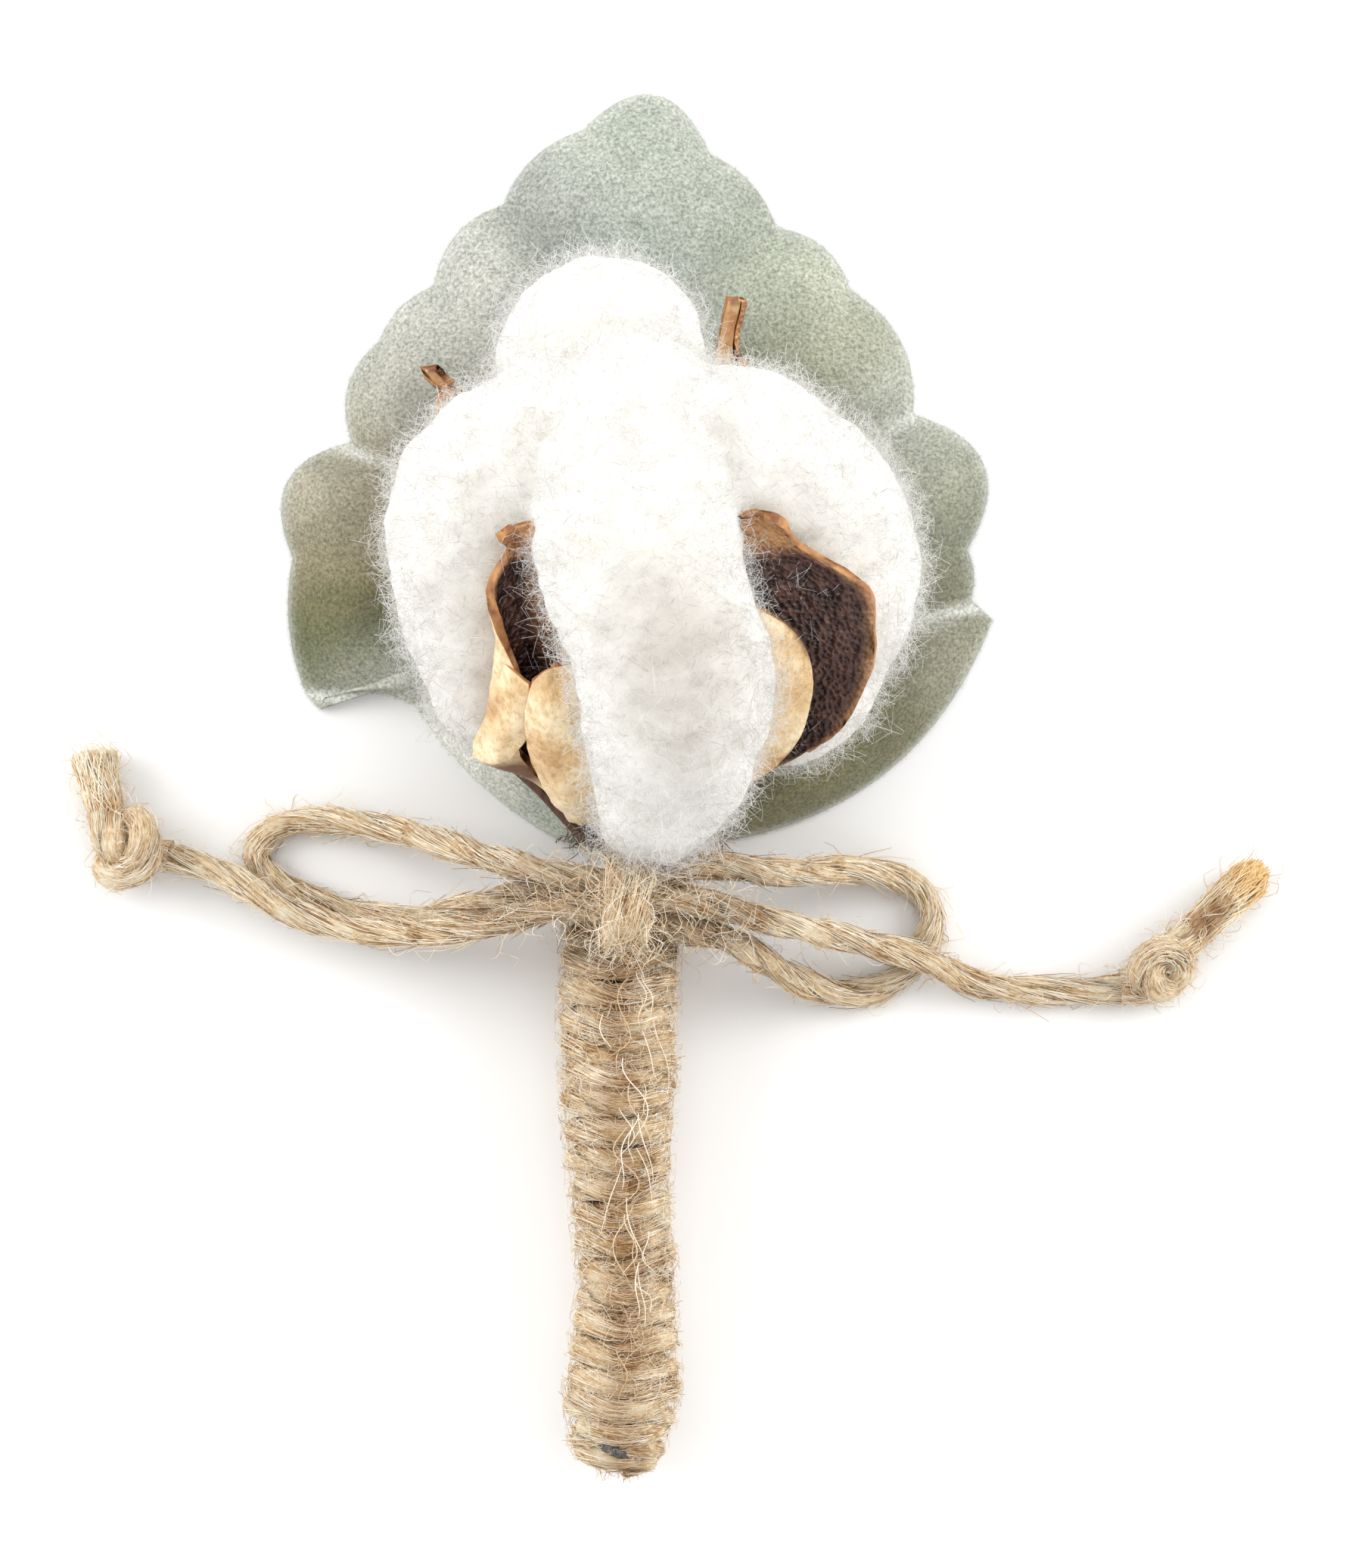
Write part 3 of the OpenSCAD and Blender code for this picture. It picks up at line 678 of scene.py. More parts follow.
band = {"turns": 1.02, "sway": 0.0003, "fibres": 500}
bowKnot = {"halfTurns": (-0.8, 2.9), "wide": 1.4, "tall": 1.12, "full": 1.12, "fibres": 1100, "hairs": 700}


def ringRoom(box, axis):  # middle of a node's box, and how far out from it the twine's middle runs
    low3, high3 = (np.array(c) for c in box)
    return (low3 + high3) / 2, (high3[axis] - low3[axis]) / 2 - twine["thick"] / 2


def makeBand():
    middle, radius = ringRoom(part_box("bow_band"), 0)
    turn = np.linspace(0, 2 * np.pi * band["turns"], 130)
    line = middle + np.stack([radius * np.sin(turn), band["sway"] * np.cos(turn / 2),
                              -radius * np.cos(turn)], axis=1)
    layTwine("bow_band", line, twine["thick"], 9, band["fibres"], 95)
    middle, radius = ringRoom(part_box("bow_knot"), 2)
    turn = np.linspace(*(t * np.pi for t in bowKnot["halfTurns"]), 240)
    across = np.interp(turn, (turn[0], turn[-1]), (-bowKnot["wide"], bowKnot["wide"])) * mm
    line = middle + np.stack([across, radius * np.sin(turn) * bowKnot["tall"], radius * np.cos(turn)], axis=1)
    knot, _ = layTwine("bow_knot", line, twine["thick"] * bowKnot["full"], 10, bowKnot["fibres"], 96,
                       length=(3, 7))
    place(looseHair("bow_knot_hair", knot, line, bowKnot["hairs"], 12, (1.5, 6), 0.5), juteHair)


# Fine hair caught round the middle of the bow
tangle = {"centre": (-0.5, -10.5), "reach": (12, 6), "hairs": 85, "length": (1.5, 5), "thick": 0.075,
          "on": ("bow_loop_left_twine", "bow_loop_right_twine", "bow_tail_left_twine", "bow_tail_right_twine",
                 "bow_knot_twine", "stem_winding")}


def makeTangle():
    random = np.random.default_rng(130)
    picked = []
    for seed, name in enumerate(tangle["on"], 131):
        points, normal = scatter(bpy.data.objects[name], 4000, seed)
        gap = (points[:, :2] / mm - tangle["centre"]) / tangle["reach"]
        near = ((gap ** 2).sum(1) < 1) & (normal[:, 2] > 0.2)
        picked.append(points[near][:tangle["hairs"]])
    roots = np.vstack(picked)
    heading = random.normal(size=roots.shape) * (1, 1, 0.4)
    paths = curlyPaths(roots, heading, random.uniform(*tangle["length"], len(roots)) * mm, 1.1, 8, 140)
    paths[..., 2] = roots[:, None, 2] + np.abs(paths[..., 2] - roots[:, None, 2]) * 0.6
    place(strands("bow_tangle", paths, tangle["thick"] * mm, 141), juteHair)


makeWinding()
makeBand()
makeTangle()
print("stem wound")


# Leaf
leaf = {
    "middle": (0, 16), "thick": 0.8, "floor": 1.0, "puff": 3.4, "steps": 16, "rings": 54,
    "notches": [(7.7, -5.2, 4.6), (32.2, 14.8, 0), (30.2, 16.6, 0.5), (29.9, 21.2, 4.3), (25, 33.5, 2),
                (19.3, 44.8, 1.4), (12.6, 50.4, 1), (6.6, 57.1, 4.4), (-5, 59.2, 1.2), (-12.1, 52.5, 1.5),
                (-18.4, 45.1, 0.8), (-23.3, 40.2, 1.7), (-25.8, 31, 3.6), (-31.2, 20.5, 0.8),
                (-30.4, 9.2, 0.2), (-28.6, 6.8, -1.4), (-20, 7, 1.2), (-6.8, -5.2, 0)],
    "root": (-0.8, -6), "rootLift": 5, "rootReach": 5.5,
    "veins": [((0, 22), (27, 34)), ((0, 20), (-28, 31)), ((0, 10), (31, 16)), ((0, 6), (-30, 8)),
              ((0, 34), (13, 52)), ((0, 34), (-13, 53))],
    "veinWidth": 2.4, "veinDepth": 0.75,
    # x, y and colour of the flock; the two tints above 255, under the boll, are painted light against the
    # shade it casts
    "tints": [(0, 58, (200, 206, 195)), (-6, 51, (177, 181, 175)), (-16, 44, (212, 212, 205)),
              (-20, 42, (213, 211, 204)), (-22, 35, (192, 191, 179)), (-25, 26, (178, 168, 142)),
              (2, 48, (190, 197, 189)), (8, 52, (194, 200, 188)), (14, 46, (202, 206, 189)),
              (18, 38, (180, 182, 160)), (22, 33, (212, 213, 204)), (26, 28, (180, 182, 167)),
              (29, 23, (162, 163, 144)), (27, 17, (124, 123, 96)), (30, 12, (176, 174, 154)),
              (28, 12, (188, 186, 168)), (26, 7, (120, 118, 90)), (21, 3, (138, 136, 106)),
              (14, -2, (138, 136, 104)),
              (-29, 27, (192, 188, 172)), (-29, 20, (156, 145, 114)), (-30, 12, (116, 118, 78)),
              (-25, 11.5, (92, 98, 54)), (-24, 7, (248, 248, 242)), (-18, 5.6, (266, 266, 260)),
              (-13, 1, (266, 266, 260)), (-9.5, -2.6, (208, 216, 204)), (-7, -4.4, (200, 208, 196)),
              (0, 10, (150, 152, 128))],
    "tintReach": 3.6, "gain": 0.74,
    "edgeHairs": 2600, "crease": 0.6, "rim": 0.96,
}


def segmentGap(p, a, b):
    a, b = np.array(a, float), np.array(b, float)
    f = np.clip(((p - a) @ (b - a)) / ((b - a) @ (b - a)), 0, 1)[:, None]
    return np.linalg.norm(p - a - (b - a) * f, axis=1), f[:, 0]


def leafEdge():
    points = []
    marks = leaf["notches"]
    for a, b in zip(marks, marks[1:] + marks[:1]):
        chord = np.array([b[0] - a[0], b[1] - a[1]])
        out = np.array([chord[1], -chord[0]]) / np.linalg.norm(chord)
        for f in np.arange(leaf["steps"]) / leaf["steps"]:
            points.append(np.array(a[:2]) + chord * f + out * a[2] * 4 * f * (1 - f))
    return np.array(points)


def leafHeight(p, k):
    gap = np.min([segmentGap(p, a, b)[0] for a, b in leaf["veins"]], axis=0)
    crease = 1 - leaf["veinDepth"] * np.exp(-(gap / leaf["veinWidth"]) ** 2)
    away = np.linalg.norm(p - np.array(leaf["root"]), axis=1)
    ripple = 0.25 * np.sin(p[:, 0] * 0.55 + 1) * np.sin(p[:, 1] * 0.4) * np.sin(np.pi * k)
    return (leaf["floor"] * (1 - k * k) + leaf["puff"] * np.sin(np.pi * k ** 3) * crease + ripple
            + leaf["rootLift"] * np.exp(-(away / leaf["rootReach"]) ** 2))


def leafMaterial():
    material, tree, shader = newMaterial("leafFlock", 0.9, 0.15, Sheen_Weight=0.6, Sheen_Roughness=0.45)
    shader.inputs["Sheen Tint"].default_value = colour(235, 240, 232)
    where = objectSpace(tree)
    nap = noise(tree, where, 3300, 3, 0.7)
    cloud = noise(tree, where, 120, 6, 0.65)
    speckle = ramp(tree, nap, [(0.32, (0.52, 0.52, 0.5, 1)), (0.68, (1.36, 1.36, 1.35, 1))])
    clouds = ramp(tree, cloud, [(0.34, (0.82, 0.84, 0.82, 1)), (0.66, (1.13, 1.12, 1.1, 1))])
    shade = mix(tree, 1.0, attribute(tree, "tint", "Color"), speckle, "MULTIPLY")
    shade = times(tree, shade, clouds)
    paint(tree, shader, shade)
    bump(tree, shader, nap, 0.12 * mm, 0.8)
    return material


def makeLeaf():
    edge = leafEdge()
    middle = np.array(leaf["middle"], float)
    n, rings = len(edge), leaf["rings"]
    k = (np.arange(1, rings + 1) / rings) ** 0.8
    flat = np.vstack([middle[None]] + [middle + (edge - middle) * f for f in k])
    share = np.concatenate([[0]] + [np.full(n, f) for f in k])
    high = leafHeight(flat, share) + leaf["thick"]
    verts = np.column_stack([flat, high]) * mm
    i, j = np.meshgrid(np.arange(rings - 1), np.arange(n), indexing="ij")
    nextJ = (j + 1) % n
    quads = 1 + np.stack([i * n + j, (i + 1) * n + j, (i + 1) * n + nextJ, i * n + nextJ], axis=-1)
    fan = [(0, 1 + j, 1 + (j + 1) % n) for j in range(n)]
    blade = newMesh("leaf_flocked", verts, quads.reshape(-1, 4).tolist() + fan)
    away = np.stack([np.exp(-((flat - t[:2]) ** 2).sum(1) / (2 * leaf["tintReach"] ** 2)) + 1e-7
                     for t in leaf["tints"]])
    shades = np.array([colour(*t[2]) for t in leaf["tints"]])
    tint = (away[:, :, None] * shades[:, None]).sum(0) / away.sum(0)[:, None]
    for a, b in leaf["veins"][:4]:  # pale creases where the side veins reach the edge
        gap, f = segmentGap(flat, a, b)
        pale = (np.exp(-(gap / leaf["crease"]) ** 2) * np.clip((f - 0.7) / 0.2, 0, 1) * 0.9)[:, None]
        tint = tint * (1 - pale) + np.array(colour(246, 247, 242)) * pale
    rim = (np.clip((share - leaf["rim"]) / 0.04, 0, 1) ** 2 * 0.4)[:, None]
    tint = tint * (1 - rim) + np.array(colour(240, 241, 234)) * rim
    tint[:, :3] *= leaf["gain"]
    pointValues(blade, "tint", tint)
    modify(blade, "SOLIDIFY", thickness=leaf["thick"] * mm, offset=-1)
    applyAll(blade)
    place(blade, leafMaterial(), ["leaf_blade"])
    random = np.random.default_rng(14)
    count = leaf["edgeHairs"]
    at = random.uniform(0, n, count)
    i = at.astype(int)
    part = (at - i)[:, None]
    outline = np.column_stack([edge, leafHeight(edge, np.ones(n)) + leaf["thick"] * 0.6]) * mm
    roots = outline[i] * (1 - part) + outline[(i + 1) % n] * part
    roots[:, 2] += random.uniform(-0.4, 0.25, count) * mm
    out = unit(np.column_stack([roots[:, :2] - middle * mm, np.zeros(count)]))
    heading = out + random.normal(0, 0.5, (count, 3))
    paths = curlyPaths(roots - out * 0.15 * mm, heading, random.uniform(0.25, 0.55, count) * mm, 0.5, 4, 15)
    keepAbove(paths, 0.04)
    nap = strands("leaf_edge_nap", paths, 0.06 * mm, 16)
    napMaterial, tree, shader = newMaterial("leafNap", 0.9, Sheen_Weight=0.5)
    shades = [(0.0, (206, 210, 198)), (1.0, (248, 250, 244))]
    paint(tree, shader, ramp(tree, attribute(tree, "strand"), shades))
    place(nap, napMaterial)


makeLeaf()
print("leaf cut and puffed")


# Bur valves
valves = {
    "thick": 0.9,
    "front_left": [
        [(-4.4, -3.4, 14.2), (-4.9, -3.4, 13.4), (-4.6, -3.6, 12.2), (-3.9, -3.8, 12), (-3.3, -3.6, 13.2)],
        [(-8.6, 1, 16), (-9.2, 0.6, 14.8), (-7.4, 0.2, 14), (-5, -0.2, 15), (-7.4, -0.4, 18)],
        [(-10.6, 3.4, 20), (-14.2, 2.8, 18.6), (-9.6, 2.8, 16), (-5, 2.9, 18.4), (-9.2, 3.2, 21.4)],
        [(-9.9, 6.4, 24), (-12.6, 7, 22.4), (-9, 6.8, 19.5), (-5, 7, 22.6), (-9.9, 6.8, 24.8)],
        [(-10.6, 9.6, 26.6), (-12.4, 10.2, 25.6), (-9, 10, 22.2), (-5.6, 10.2, 25), (-7.6, 10, 27)],
        [(-12.4, 14, 28.4), (-12, 13.8, 26.6), (-9.6, 13.6, 24.8), (-7.2, 13.6, 26.6), (-6.4, 12.6, 28.4)],
        [(-13, 17.6, 29.8), (-12.2, 17.6, 28.4), (-10.4, 17.6, 27.2), (-8.8, 17.6, 28.4), (-8, 17.4, 30)],
        [(-11.4, 20.8, 31), (-10.8, 20.9, 30.4), (-10, 20.9, 30), (-9.2, 20.9, 30.4), (-8.4, 20.9, 31)],
        [(-12.3, 22, 33), (-11.6, 22.6, 32.6), (-10.6, 22.9, 32.4), (-9.5, 23.2, 32.6), (-8.6, 22.9, 33)]],
    "front_right": [
        [(5, -3.2, 14), (4, -3.2, 13.5), (3.6, -3.4, 12.3), (4.4, -3.6, 11.4), (5.6, -3.4, 11)],
        [(9.3, -0.2, 17.5), (6.5, 0, 18), (5.5, 0.2, 15.5), (8, 0.4, 13.8), (11.5, 1.4, 15)],
        [(14, 3.4, 22), (9.5, 4, 23), (7, 4.4, 19.5), (12, 4, 17.5), (17.2, 3.9, 19.5)],
        [(15.7, 8.8, 26.4), (10.5, 9, 27.4), (7.5, 9.2, 23.6), (14.5, 9, 22.4), (20.6, 9, 24.4)],
        [(14.2, 13.6, 29), (10, 13.6, 29.2), (8, 13.8, 26.6), (15.3, 14, 25.9), (21.4, 14, 27.2)],
        [(9.4, 16.8, 29.8), (8.2, 17.2, 29.2), (8.6, 17.6, 28), (14.6, 18, 27.6), (20.4, 17.8, 29)],
        [(8.2, 20.4, 31), (9, 20.6, 30.2), (10.4, 20.9, 29.8), (12.6, 21.1, 30), (14.4, 21.3, 30.6)],
        [(9.2, 24, 33), (9.9, 24.1, 32.8), (10.7, 24.3, 32.7), (11.9, 24, 32.8), (13.2, 23.2, 33)]],
    # x, y, z of the keel, half width, rise of the edges
    "back_left": [(-2.5, -3, 7, 2, 1), (-5.5, 2, 4.6, 5, 2.6), (-9, 9, 4, 7, 4.4), (-13, 20, 5, 7, 4.6),
                  (-14.8, 30, 9, 4, 2.4), (-16.6, 34.8, 13.4, 1.0, 0.35), (-18.6, 37.4, 16, 0.7, 0.15)],
    "back_right": [(1.5, -3, 7, 2, 1), (4, 2, 4.6, 5, 2.6), (7, 9, 4, 7, 4.4), (9, 20, 5, 7.4, 4.6),
                   (9.2, 32, 8.6, 4.4, 2.6), (8.1, 38.6, 12, 1.0, 0.35), (8.9, 43.6, 15.4, 0.7, 0.15)],
}
# Two pale flaps close the foot of the left valve: rows run down, from left to right
flaps = {
    "left": [[(-12.5, 11.8, 26), (-11.2, 10.4, 27.4), (-9.5, 9.0, 27.8)],
             [(-13.0, 8.6, 24.6), (-11.4, 7.8, 26.4), (-9.5, 7.4, 26.6)],
             [(-13.6, 5.6, 22.2), (-11.8, 5.0, 24.2), (-9.6, 4.6, 24.2)],
             [(-14.6, 2.5, 19.4), (-12.9, 1.9, 20.8), (-11.3, 2.3, 21.4)]],
    "right": [[(-9.3, 9.3, 28.2), (-7.8, 10.3, 28.4), (-5.4, 10.9, 27.6)],
              [(-9.9, 6.6, 26.4), (-7.9, 6.8, 27.8), (-4.8, 7, 27.2)],
              [(-9.7, 3.4, 23.4), (-7.6, 3.2, 25), (-4.2, 3.2, 24.4)],
              [(-8.4, -0.2, 19.8), (-6.3, -0.6, 21.2), (-3.6, -0.6, 20.6)],
              [(-6.0, -3.2, 15.4), (-4.9, -3.4, 16.2), (-3.2, -3.4, 15.4)]],
    "thick": 0.5,
}


def burMaterials():
    outside, tree, shader = newMaterial("burOutside", 0.42, 0.5)
    where = objectSpace(tree)
    grain = noise(tree, where, 700, 4, 0.6)
    pits = addNode(tree, "ShaderNodeTexVoronoi", {"Vector": where, "Scale": 1900, "Randomness": 1.0})
    shade = ramp(tree, grain, [(0.32, (36, 20, 18)), (0.5, (66, 41, 35)), (0.7, (108, 76, 64))])
    pit = ramp(tree, pits.outputs[0], [(0.12, (0.1, 0.08, 0.08, 1)), (0.3, (1.1, 1.1, 1.1, 1))])
    shade = times(tree, shade, pit)
    wood = ramp(tree, noise(tree, where, 420, 5, 0.65), [(0.3, (150, 92, 52)), (0.7, (222, 172, 118))])
    shade = mix(tree, attribute(tree, "tan"), shade, wood)
    paint(tree, shader, shade)
    height = addNode(tree, "ShaderNodeMath", {0: grain, 1: pits.outputs[0]}, operation="ADD")
    bump(tree, shader, height.outputs[0], 0.45 * mm)
    inside, tree, shader = newMaterial("burInside", 0.5, 0.35, Sheen_Weight=0.2)
    where = objectSpace(tree)
    fibre = noise(tree, where, 1700, 5, 0.75, (1, 0.5, 1))
    cloud = noise(tree, where, 220, 4, 0.6)
    shade = ramp(tree, cloud, [(0.3, (196, 154, 104)), (0.46, (228, 196, 148)),
                               (0.62, (247, 228, 192))])
    dust = ramp(tree, fibre, [(0.36, (0.74, 0.66, 0.54, 1)), (0.54, (1.03, 1.03, 1.02, 1))])
    shade = times(tree, shade, dust)
    # painted shade: darker under the foot of the left flap
    shade = spot(tree, shade, (-11, 1.2, 16.4), (220, 420, 360), (0.24, 0.13, 0.08, 1), 0.55)
    for tip in ((-17.4, 36, 14.6), (8.6, 41.6, 14.2)):
        shade = spot(tree, shade, tip, (300, 220, 220), (0.66, 0.38, 0.24, 1), 1.0)
    paint(tree, shader, shade)
    bump(tree, shader, fibre, 0.12 * mm, 0.5)
    rim, tree, shader = newMaterial("burRim", 0.6)
    where = objectSpace(tree)
    paint(tree, shader, ramp(tree, noise(tree, where, 600, 3), [(0.3, (122, 68, 36)), (0.7, (214, 156, 98))]))
    return outside, inside, rim


def gridPiece(name, grid):  # a wall of faces over rows of points, facing the first side
    rows, cols, _ = grid.shape
    faces = [(i * cols + j, i * cols + j + 1, (i + 1) * cols + j + 1, (i + 1) * cols + j)
             for i in range(rows - 1) for j in range(cols - 1)]
    return newMesh(name, grid.reshape(-1, 3), faces)


def refineRows(net, times):
    net = np.array(net, float)
    q = np.concatenate([[2 * net[0] - net[1]], net, [2 * net[-1] - net[-2]]])
    rows = []
    for i in range(len(net) - 1):
        rows += [between(*q[i:i + 4], t) for t in np.arange(times) / times]
    return np.array(rows + [net[-1]])


def refineNet(net, down, across):
    return refineRows(refineRows(net, down).transpose(1, 0, 2), across).transpose(1, 0, 2)


def thicken(piece, thick, edge, **faces):  # a wall with softened edges
    modify(piece, "SOLIDIFY", thickness=thick * mm, offset=0, **faces)
    modify(piece, "BEVEL", width=edge * mm, segments=2, limit_method="ANGLE", angle_limit=1.0)


def makeValve(name, materials):
    facts = valves[name]
    front = name.startswith("front")
    if front:
        grid = refineNet(facts, 9, 10)
    else:
        keel = refineRows(facts, 9)
        across = np.linspace(-1, 1, 29)
        grid = np.stack([keel[:, :1] + keel[:, 3:4] * across, keel[:, 1:2] + 0 * across,
                         keel[:, 2:3] + 0.5 + keel[:, 4:5] * across ** 2], axis=-1)
    rows, cols, _ = grid.shape
    random = np.random.default_rng(len(name))
    ragged = np.interp(np.linspace(0, 12, rows), np.arange(13), random.normal(0, 0.18, 13))
    grid[:, 0, 0] += ragged
    grid[:, -1, 0] += ragged[::-1]
    order = grid if front else grid[:, ::-1]
    piece = gridPiece(f"bur_{name}", order * mm)
    up = np.linspace(0, 1, rows)[:, None] + 0 * np.linspace(0, 1, cols)
    edge = np.abs(np.linspace(-1, 1, cols))[None, :] + 0 * up
    tan = np.clip((up - 0.83) / 0.05, 0, 1) * 0.9 + np.clip((edge - 0.93) / 0.07, 0, 1) * 0.8
    if name == "front_left":
        tan = tan + np.clip((np.linspace(0, 1, cols) - 0.5) / 0.2, 0, 1) * 0.5
    pointValues(piece, "tan", np.clip(tan, 0, 1).ravel())
    for material in materials:
        piece.data.materials.append(material)
    thicken(piece, valves["thick"], 0.25, material_offset=1, material_offset_rim=2)
    addLumps(piece, 1.6, 0.35)
    applyAll(piece)
    return place(piece, None, [f"valve_{name}"])


def makeFlap(name, face, rim):
    piece = gridPiece(f"bur_flap_{name}", refineNet(flaps[name], 8, 9) * mm)
    for material in (face, rim):
        piece.data.materials.append(material)
    thicken(piece, flaps["thick"], 0.15, material_offset_rim=1)
    addLumps(piece, 2.2, 0.5)
    applyAll(piece)
    place(piece, None)


burFinish = burMaterials()
valvePieces = {valveName: makeValve(valveName, burFinish)
               for valveName in ("front_left", "front_right", "back_left", "back_right")}
for flapName in ("left", "right"):
    makeFlap(flapName, *burFinish[1:])
print("bur valves opened")


# Lint
lint = {
    "locks": ("front", "left", "right", "top"), "grain": 0.65, "fibreThick": 0.042, "calm": 22,
    # fibres in each bundle and their shortest and longest lengths
    "bundles": [(7000, 1.4, 3.8), (7000, 1.4, 3.8), (7000, 1.2, 3), (6700, 0.5, 1.4)],
    "lumps": [(8, 1.7), (2.8, 0.4), (1.3, 0.3)],  # size and height of the bumps
    "behind": {"left": "front_left", "right": "front_right"}, "clearance": 0.9,
    "foot": 2.4,  # how much longer the short fibres are at the foot of the lint
}


def paintedShadeFront(tree, shade):  # painted shade: the front lock is a little greyer down its middle
    for x, y, z, most in ((3.5, 15, 39, 0.8), (5.5, 8, 36, 0.3)):
        shade = spot(tree, shade, (x, y, z), (120, 110, 60), (0.9, 0.885, 0.87, 1), most)
    return shade


def lintMaterials():
    mass, tree, shader = newMaterial("cottonLint", 1.0, 0.0, Sheen_Weight=0.4, Sheen_Roughness=0.6,
                                     Subsurface_Weight=0.9, Subsurface_Scale=3 * mm)
    shader.inputs["Subsurface Radius"].default_value = (1.0, 0.97, 0.92)
    where = objectSpace(tree)
    shade = ramp(tree, noise(tree, where, 260, 6, 0.7), [(0.3, (227, 223, 217)), (0.6, (236, 234, 229))])
    paint(tree, shader, paintedShadeFront(tree, shade))
    bump(tree, shader, noise(tree, where, 700, 6, 0.7), 0.3 * mm, 0.4)
    fibre, tree, shader = newMaterial("cottonFibre", 1.0, 0.0, Sheen_Weight=0.3, Subsurface_Weight=0.3,
                                      Subsurface_Scale=1 * mm)
    shade = ramp(tree, attribute(tree, "strand"), [(0.0, (214, 210, 202)), (0.6, (245, 242, 237)),
                                                   (1.0, (253, 251, 247))])
    paint(tree, shader, paintedShadeFront(tree, shade))
    return mass, fibre


def tuckBehind(piece, valve):  # moves the lint that would pierce a valve to just behind it
    tree = BVHTree.FromObject(valve, bpy.context.evaluated_depsgraph_get())
    for vertex in piece.data.vertices:
        hit = vertex.co + Vector((0, 0, 20 * mm))
        lowest = None
        for _ in range(6):
            found = tree.ray_cast(hit, Vector((0, 0, -1)), 40 * mm)
            if found[0] is None:
                break
            lowest = found[0].z
            hit = found[0] - Vector((0, 0, 0.01 * mm))
        if lowest is not None:
            vertex.co.z = min(vertex.co.z, lowest - lint["clearance"] * mm)


def makeLint(mass, fibre):
    copies = []
    for name in lint["locks"]:
        copy = bpy.data.objects.new(f"lint_{name}", nodes[f"lock_{name}"].data.copy())
        link(copy)
        copy.data.materials.clear()
        only(copy)
        bpy.ops.object.mode_set(mode="EDIT")
        bpy.ops.mesh.select_all(action="SELECT")
        bpy.ops.mesh.remove_doubles(threshold=0.01 * mm)
        bpy.ops.object.mode_set(mode="OBJECT")
        modify(copy, "REMESH", mode="VOXEL", voxel_size=lint["grain"] * mm)
        applyAll(copy)
        if name in lint["behind"]:
            tuckBehind(copy, valvePieces[lint["behind"][name]])
        copies.append(copy)
    bpy.ops.object.select_all(action="DESELECT")
    for copy in copies:
        copy.select_set(True)
    bpy.context.view_layer.objects.active = copies[0]
    bpy.ops.object.join()
    piece = bpy.context.object
    piece.name = "lint_mass"
    modify(piece, "REMESH", mode="VOXEL", voxel_size=lint["grain"] * mm)
    modify(piece, "SMOOTH", factor=0.5, iterations=lint["calm"])
    modify(piece, "SUBSURF", levels=1, render_levels=1)
    for size, height in lint["lumps"]:
        addLumps(piece, size, height)
    applyAll(piece)
    piece.data.shade_smooth()
    place(piece, mass, [f"lock_{name}" for name in lint["locks"]])
    for bundle, (most, shortest, longest) in enumerate(lint["bundles"]):
        random = np.random.default_rng(60 + bundle)
        roots, normal = scatter(piece, int(most * 1.35), 60 + bundle)
        seen = normal[:, 2] > -0.45
        roots, normal = roots[seen][:most], normal[seen][:most]
        count = len(roots)
        heading = normal * random.uniform(0.1, 0.7, (count, 1)) + unit(random.normal(size=(count, 3))) * 0.8
        length = random.uniform(shortest, longest, count) * mm
        length = length * (1 + (lint["foot"] - 1) * (roots[:, 1] < 0) * (longest < 2))
        paths = curlyPaths(roots - normal * 0.2 * mm, heading, length, 1.7, 5, 80 + bundle)
        fluff = strands(f"lint_fibres_{bundle + 1}", paths, lint["fibreThick"] * mm, 90 + bundle)
        place(fluff, fibre)
    print("lint has", len(piece.data.polygons), "faces")


makeLint(*lintMaterials())
print("lint fluffed")


# Calyx bristles
bristles = {"at": [(-4.5, -4.6, 13.8), (6.2, -3.8, 13.8)], "count": 50, "spread": (0.9, 0.6, 0.9)}


def makeBristles():
    random = np.random.default_rng(51)
    roots = np.vstack([random.normal(at, bristles["spread"], (bristles["count"], 3))
                       for at in bristles["at"]])
    heading = roots - [0.5, 3, 11] + random.normal(0, 3, roots.shape)
    paths = curlyPaths(roots * mm, heading, random.uniform(0.8, 2.4, len(roots)) * mm, 0.8, 6, 52)
    piece = strands("calyx_bristles", paths, 0.1 * mm, 53)
    material, tree, shader = newMaterial("dryBristle", 0.7)
    paint(tree, shader, ramp(tree, attribute(tree, "strand"),
                             [(0.0, (52, 42, 38)), (0.7, (112, 96, 84)), (1.0, (190, 176, 158))]))
    place(piece, material)


makeBristles()


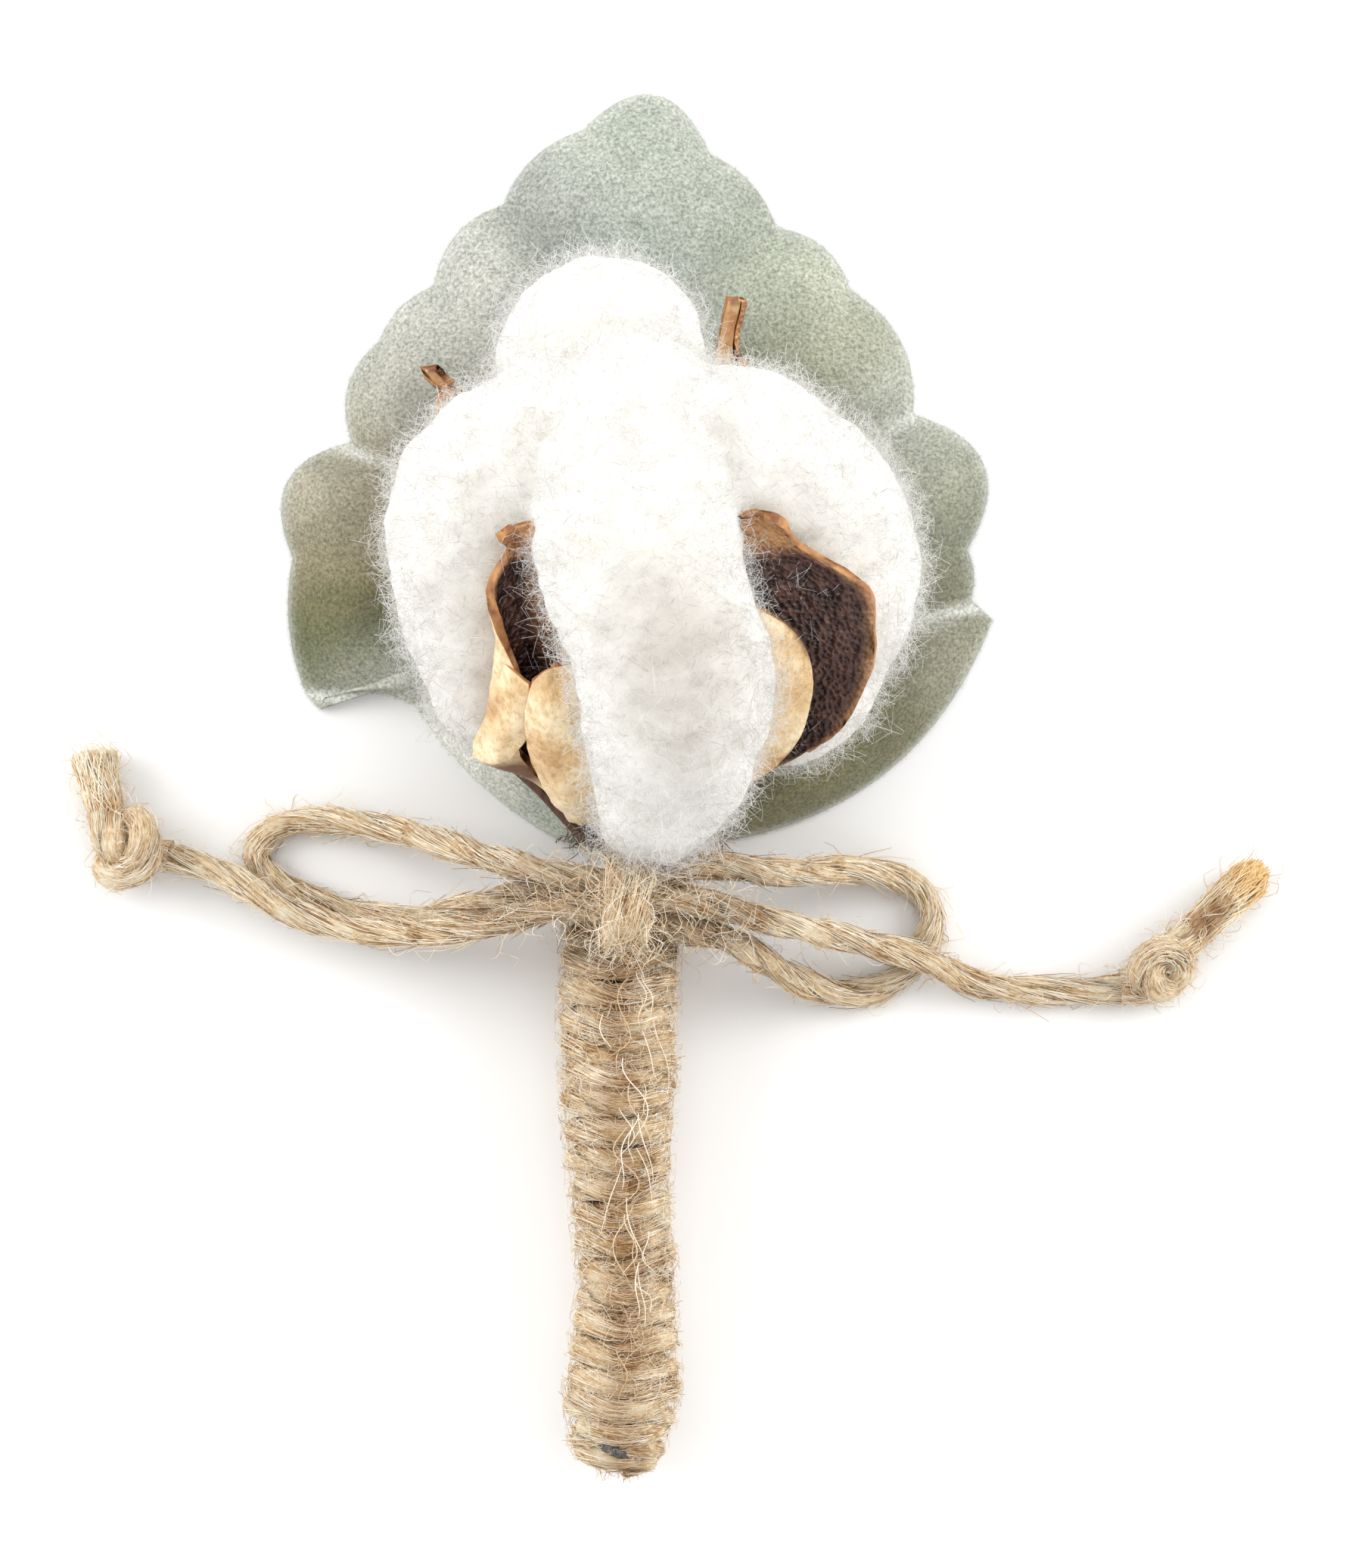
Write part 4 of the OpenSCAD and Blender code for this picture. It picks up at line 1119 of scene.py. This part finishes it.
# What stays as the frame has it
finishes = {
    "calyx": ("dryCalyx", (44, 32, 28), (104, 82, 66), 900, 0.85, 0.3 * mm),
    "bract_remnant": ("dryTwig", (58, 36, 30), (120, 88, 68), 1200, 0.8, 0.2 * mm, (1, 0.3, 1)),
    "stalk": ("stalkBark", (52, 44, 42), (110, 94, 82), 900, 0.85, 0.2 * mm, (1, 0.2, 1)),
    "leaf_rib": ("ribCoating", (112, 128, 92), (150, 164, 128), 700, 0.6, 0.05 * mm),
    "stem_wires": ("wireCoating", (44, 66, 46), (70, 96, 66), 700, 0.5, 0.05 * mm),
    "floral_tape": ("waxedTape", (56, 66, 54), (98, 110, 92), 800, 0.6, 0.15 * mm, (1, 0.15, 1)),
    "seeds": ("fuzzySeed", (70, 54, 40), (150, 128, 100), 1500, 0.9, 0.2 * mm),
}
for nodeName, node in nodes.items():
    key = "seeds" if nodeName.startswith("seeds") else nodeName
    if key in finishes:
        material = bpy.data.materials.get(finishes[key][0]) or plainFinish(*finishes[key])
        node.data.materials.clear()
        node.data.materials.append(material)


# Stage and light
def areaLight(name, place3, target, size, power, tint=(1, 1, 1)):
    lamp = bpy.data.lights.new(name, "AREA")
    lamp.shape, lamp.size, lamp.energy, lamp.color = "SQUARE", size, power, tint
    light = bpy.data.objects.new(name, lamp)
    light.location = place3
    light.rotation_euler = (Vector(target) - Vector(place3)).to_track_quat("-Z", "Y").to_euler()
    link(light)


bpy.ops.object.select_all(action="DESELECT")
bpy.ops.mesh.primitive_plane_add(size=6)
floor = bpy.context.object
floor.name = "floor"
paper, paperTree, paperShader = newMaterial("whitePaper", 0.9, 0.1)
paint(paperTree, paperShader, ramp(paperTree, noise(paperTree, objectSpace(paperTree), 40, 2),
                                   [(0.3, (0.93, 0.93, 0.93, 1)), (0.7, (0.95, 0.95, 0.95, 1))]))
floor.data.materials.append(paper)
world = bpy.data.worlds.new("studio")
world.use_nodes = True
sky = world.node_tree.nodes["Background"]
sky.inputs[0].default_value = (1, 1, 1, 1)
sky.inputs[1].default_value = 0.8
bpy.context.scene.world = world
areaLight("keyLeft", (-0.75, 0.3, 0.5), (0, 0.01, 0.01), 0.6, 5.2)
areaLight("keyRight", (0.75, 0.3, 0.5), (0, 0.01, 0.01), 0.6, 4.9)
areaLight("topFill", (0.0, 0.45, 1.0), (0, 0, 0), 0.7, 1.8)
bpy.context.scene.view_settings.view_transform = "Standard"
print("lights on")
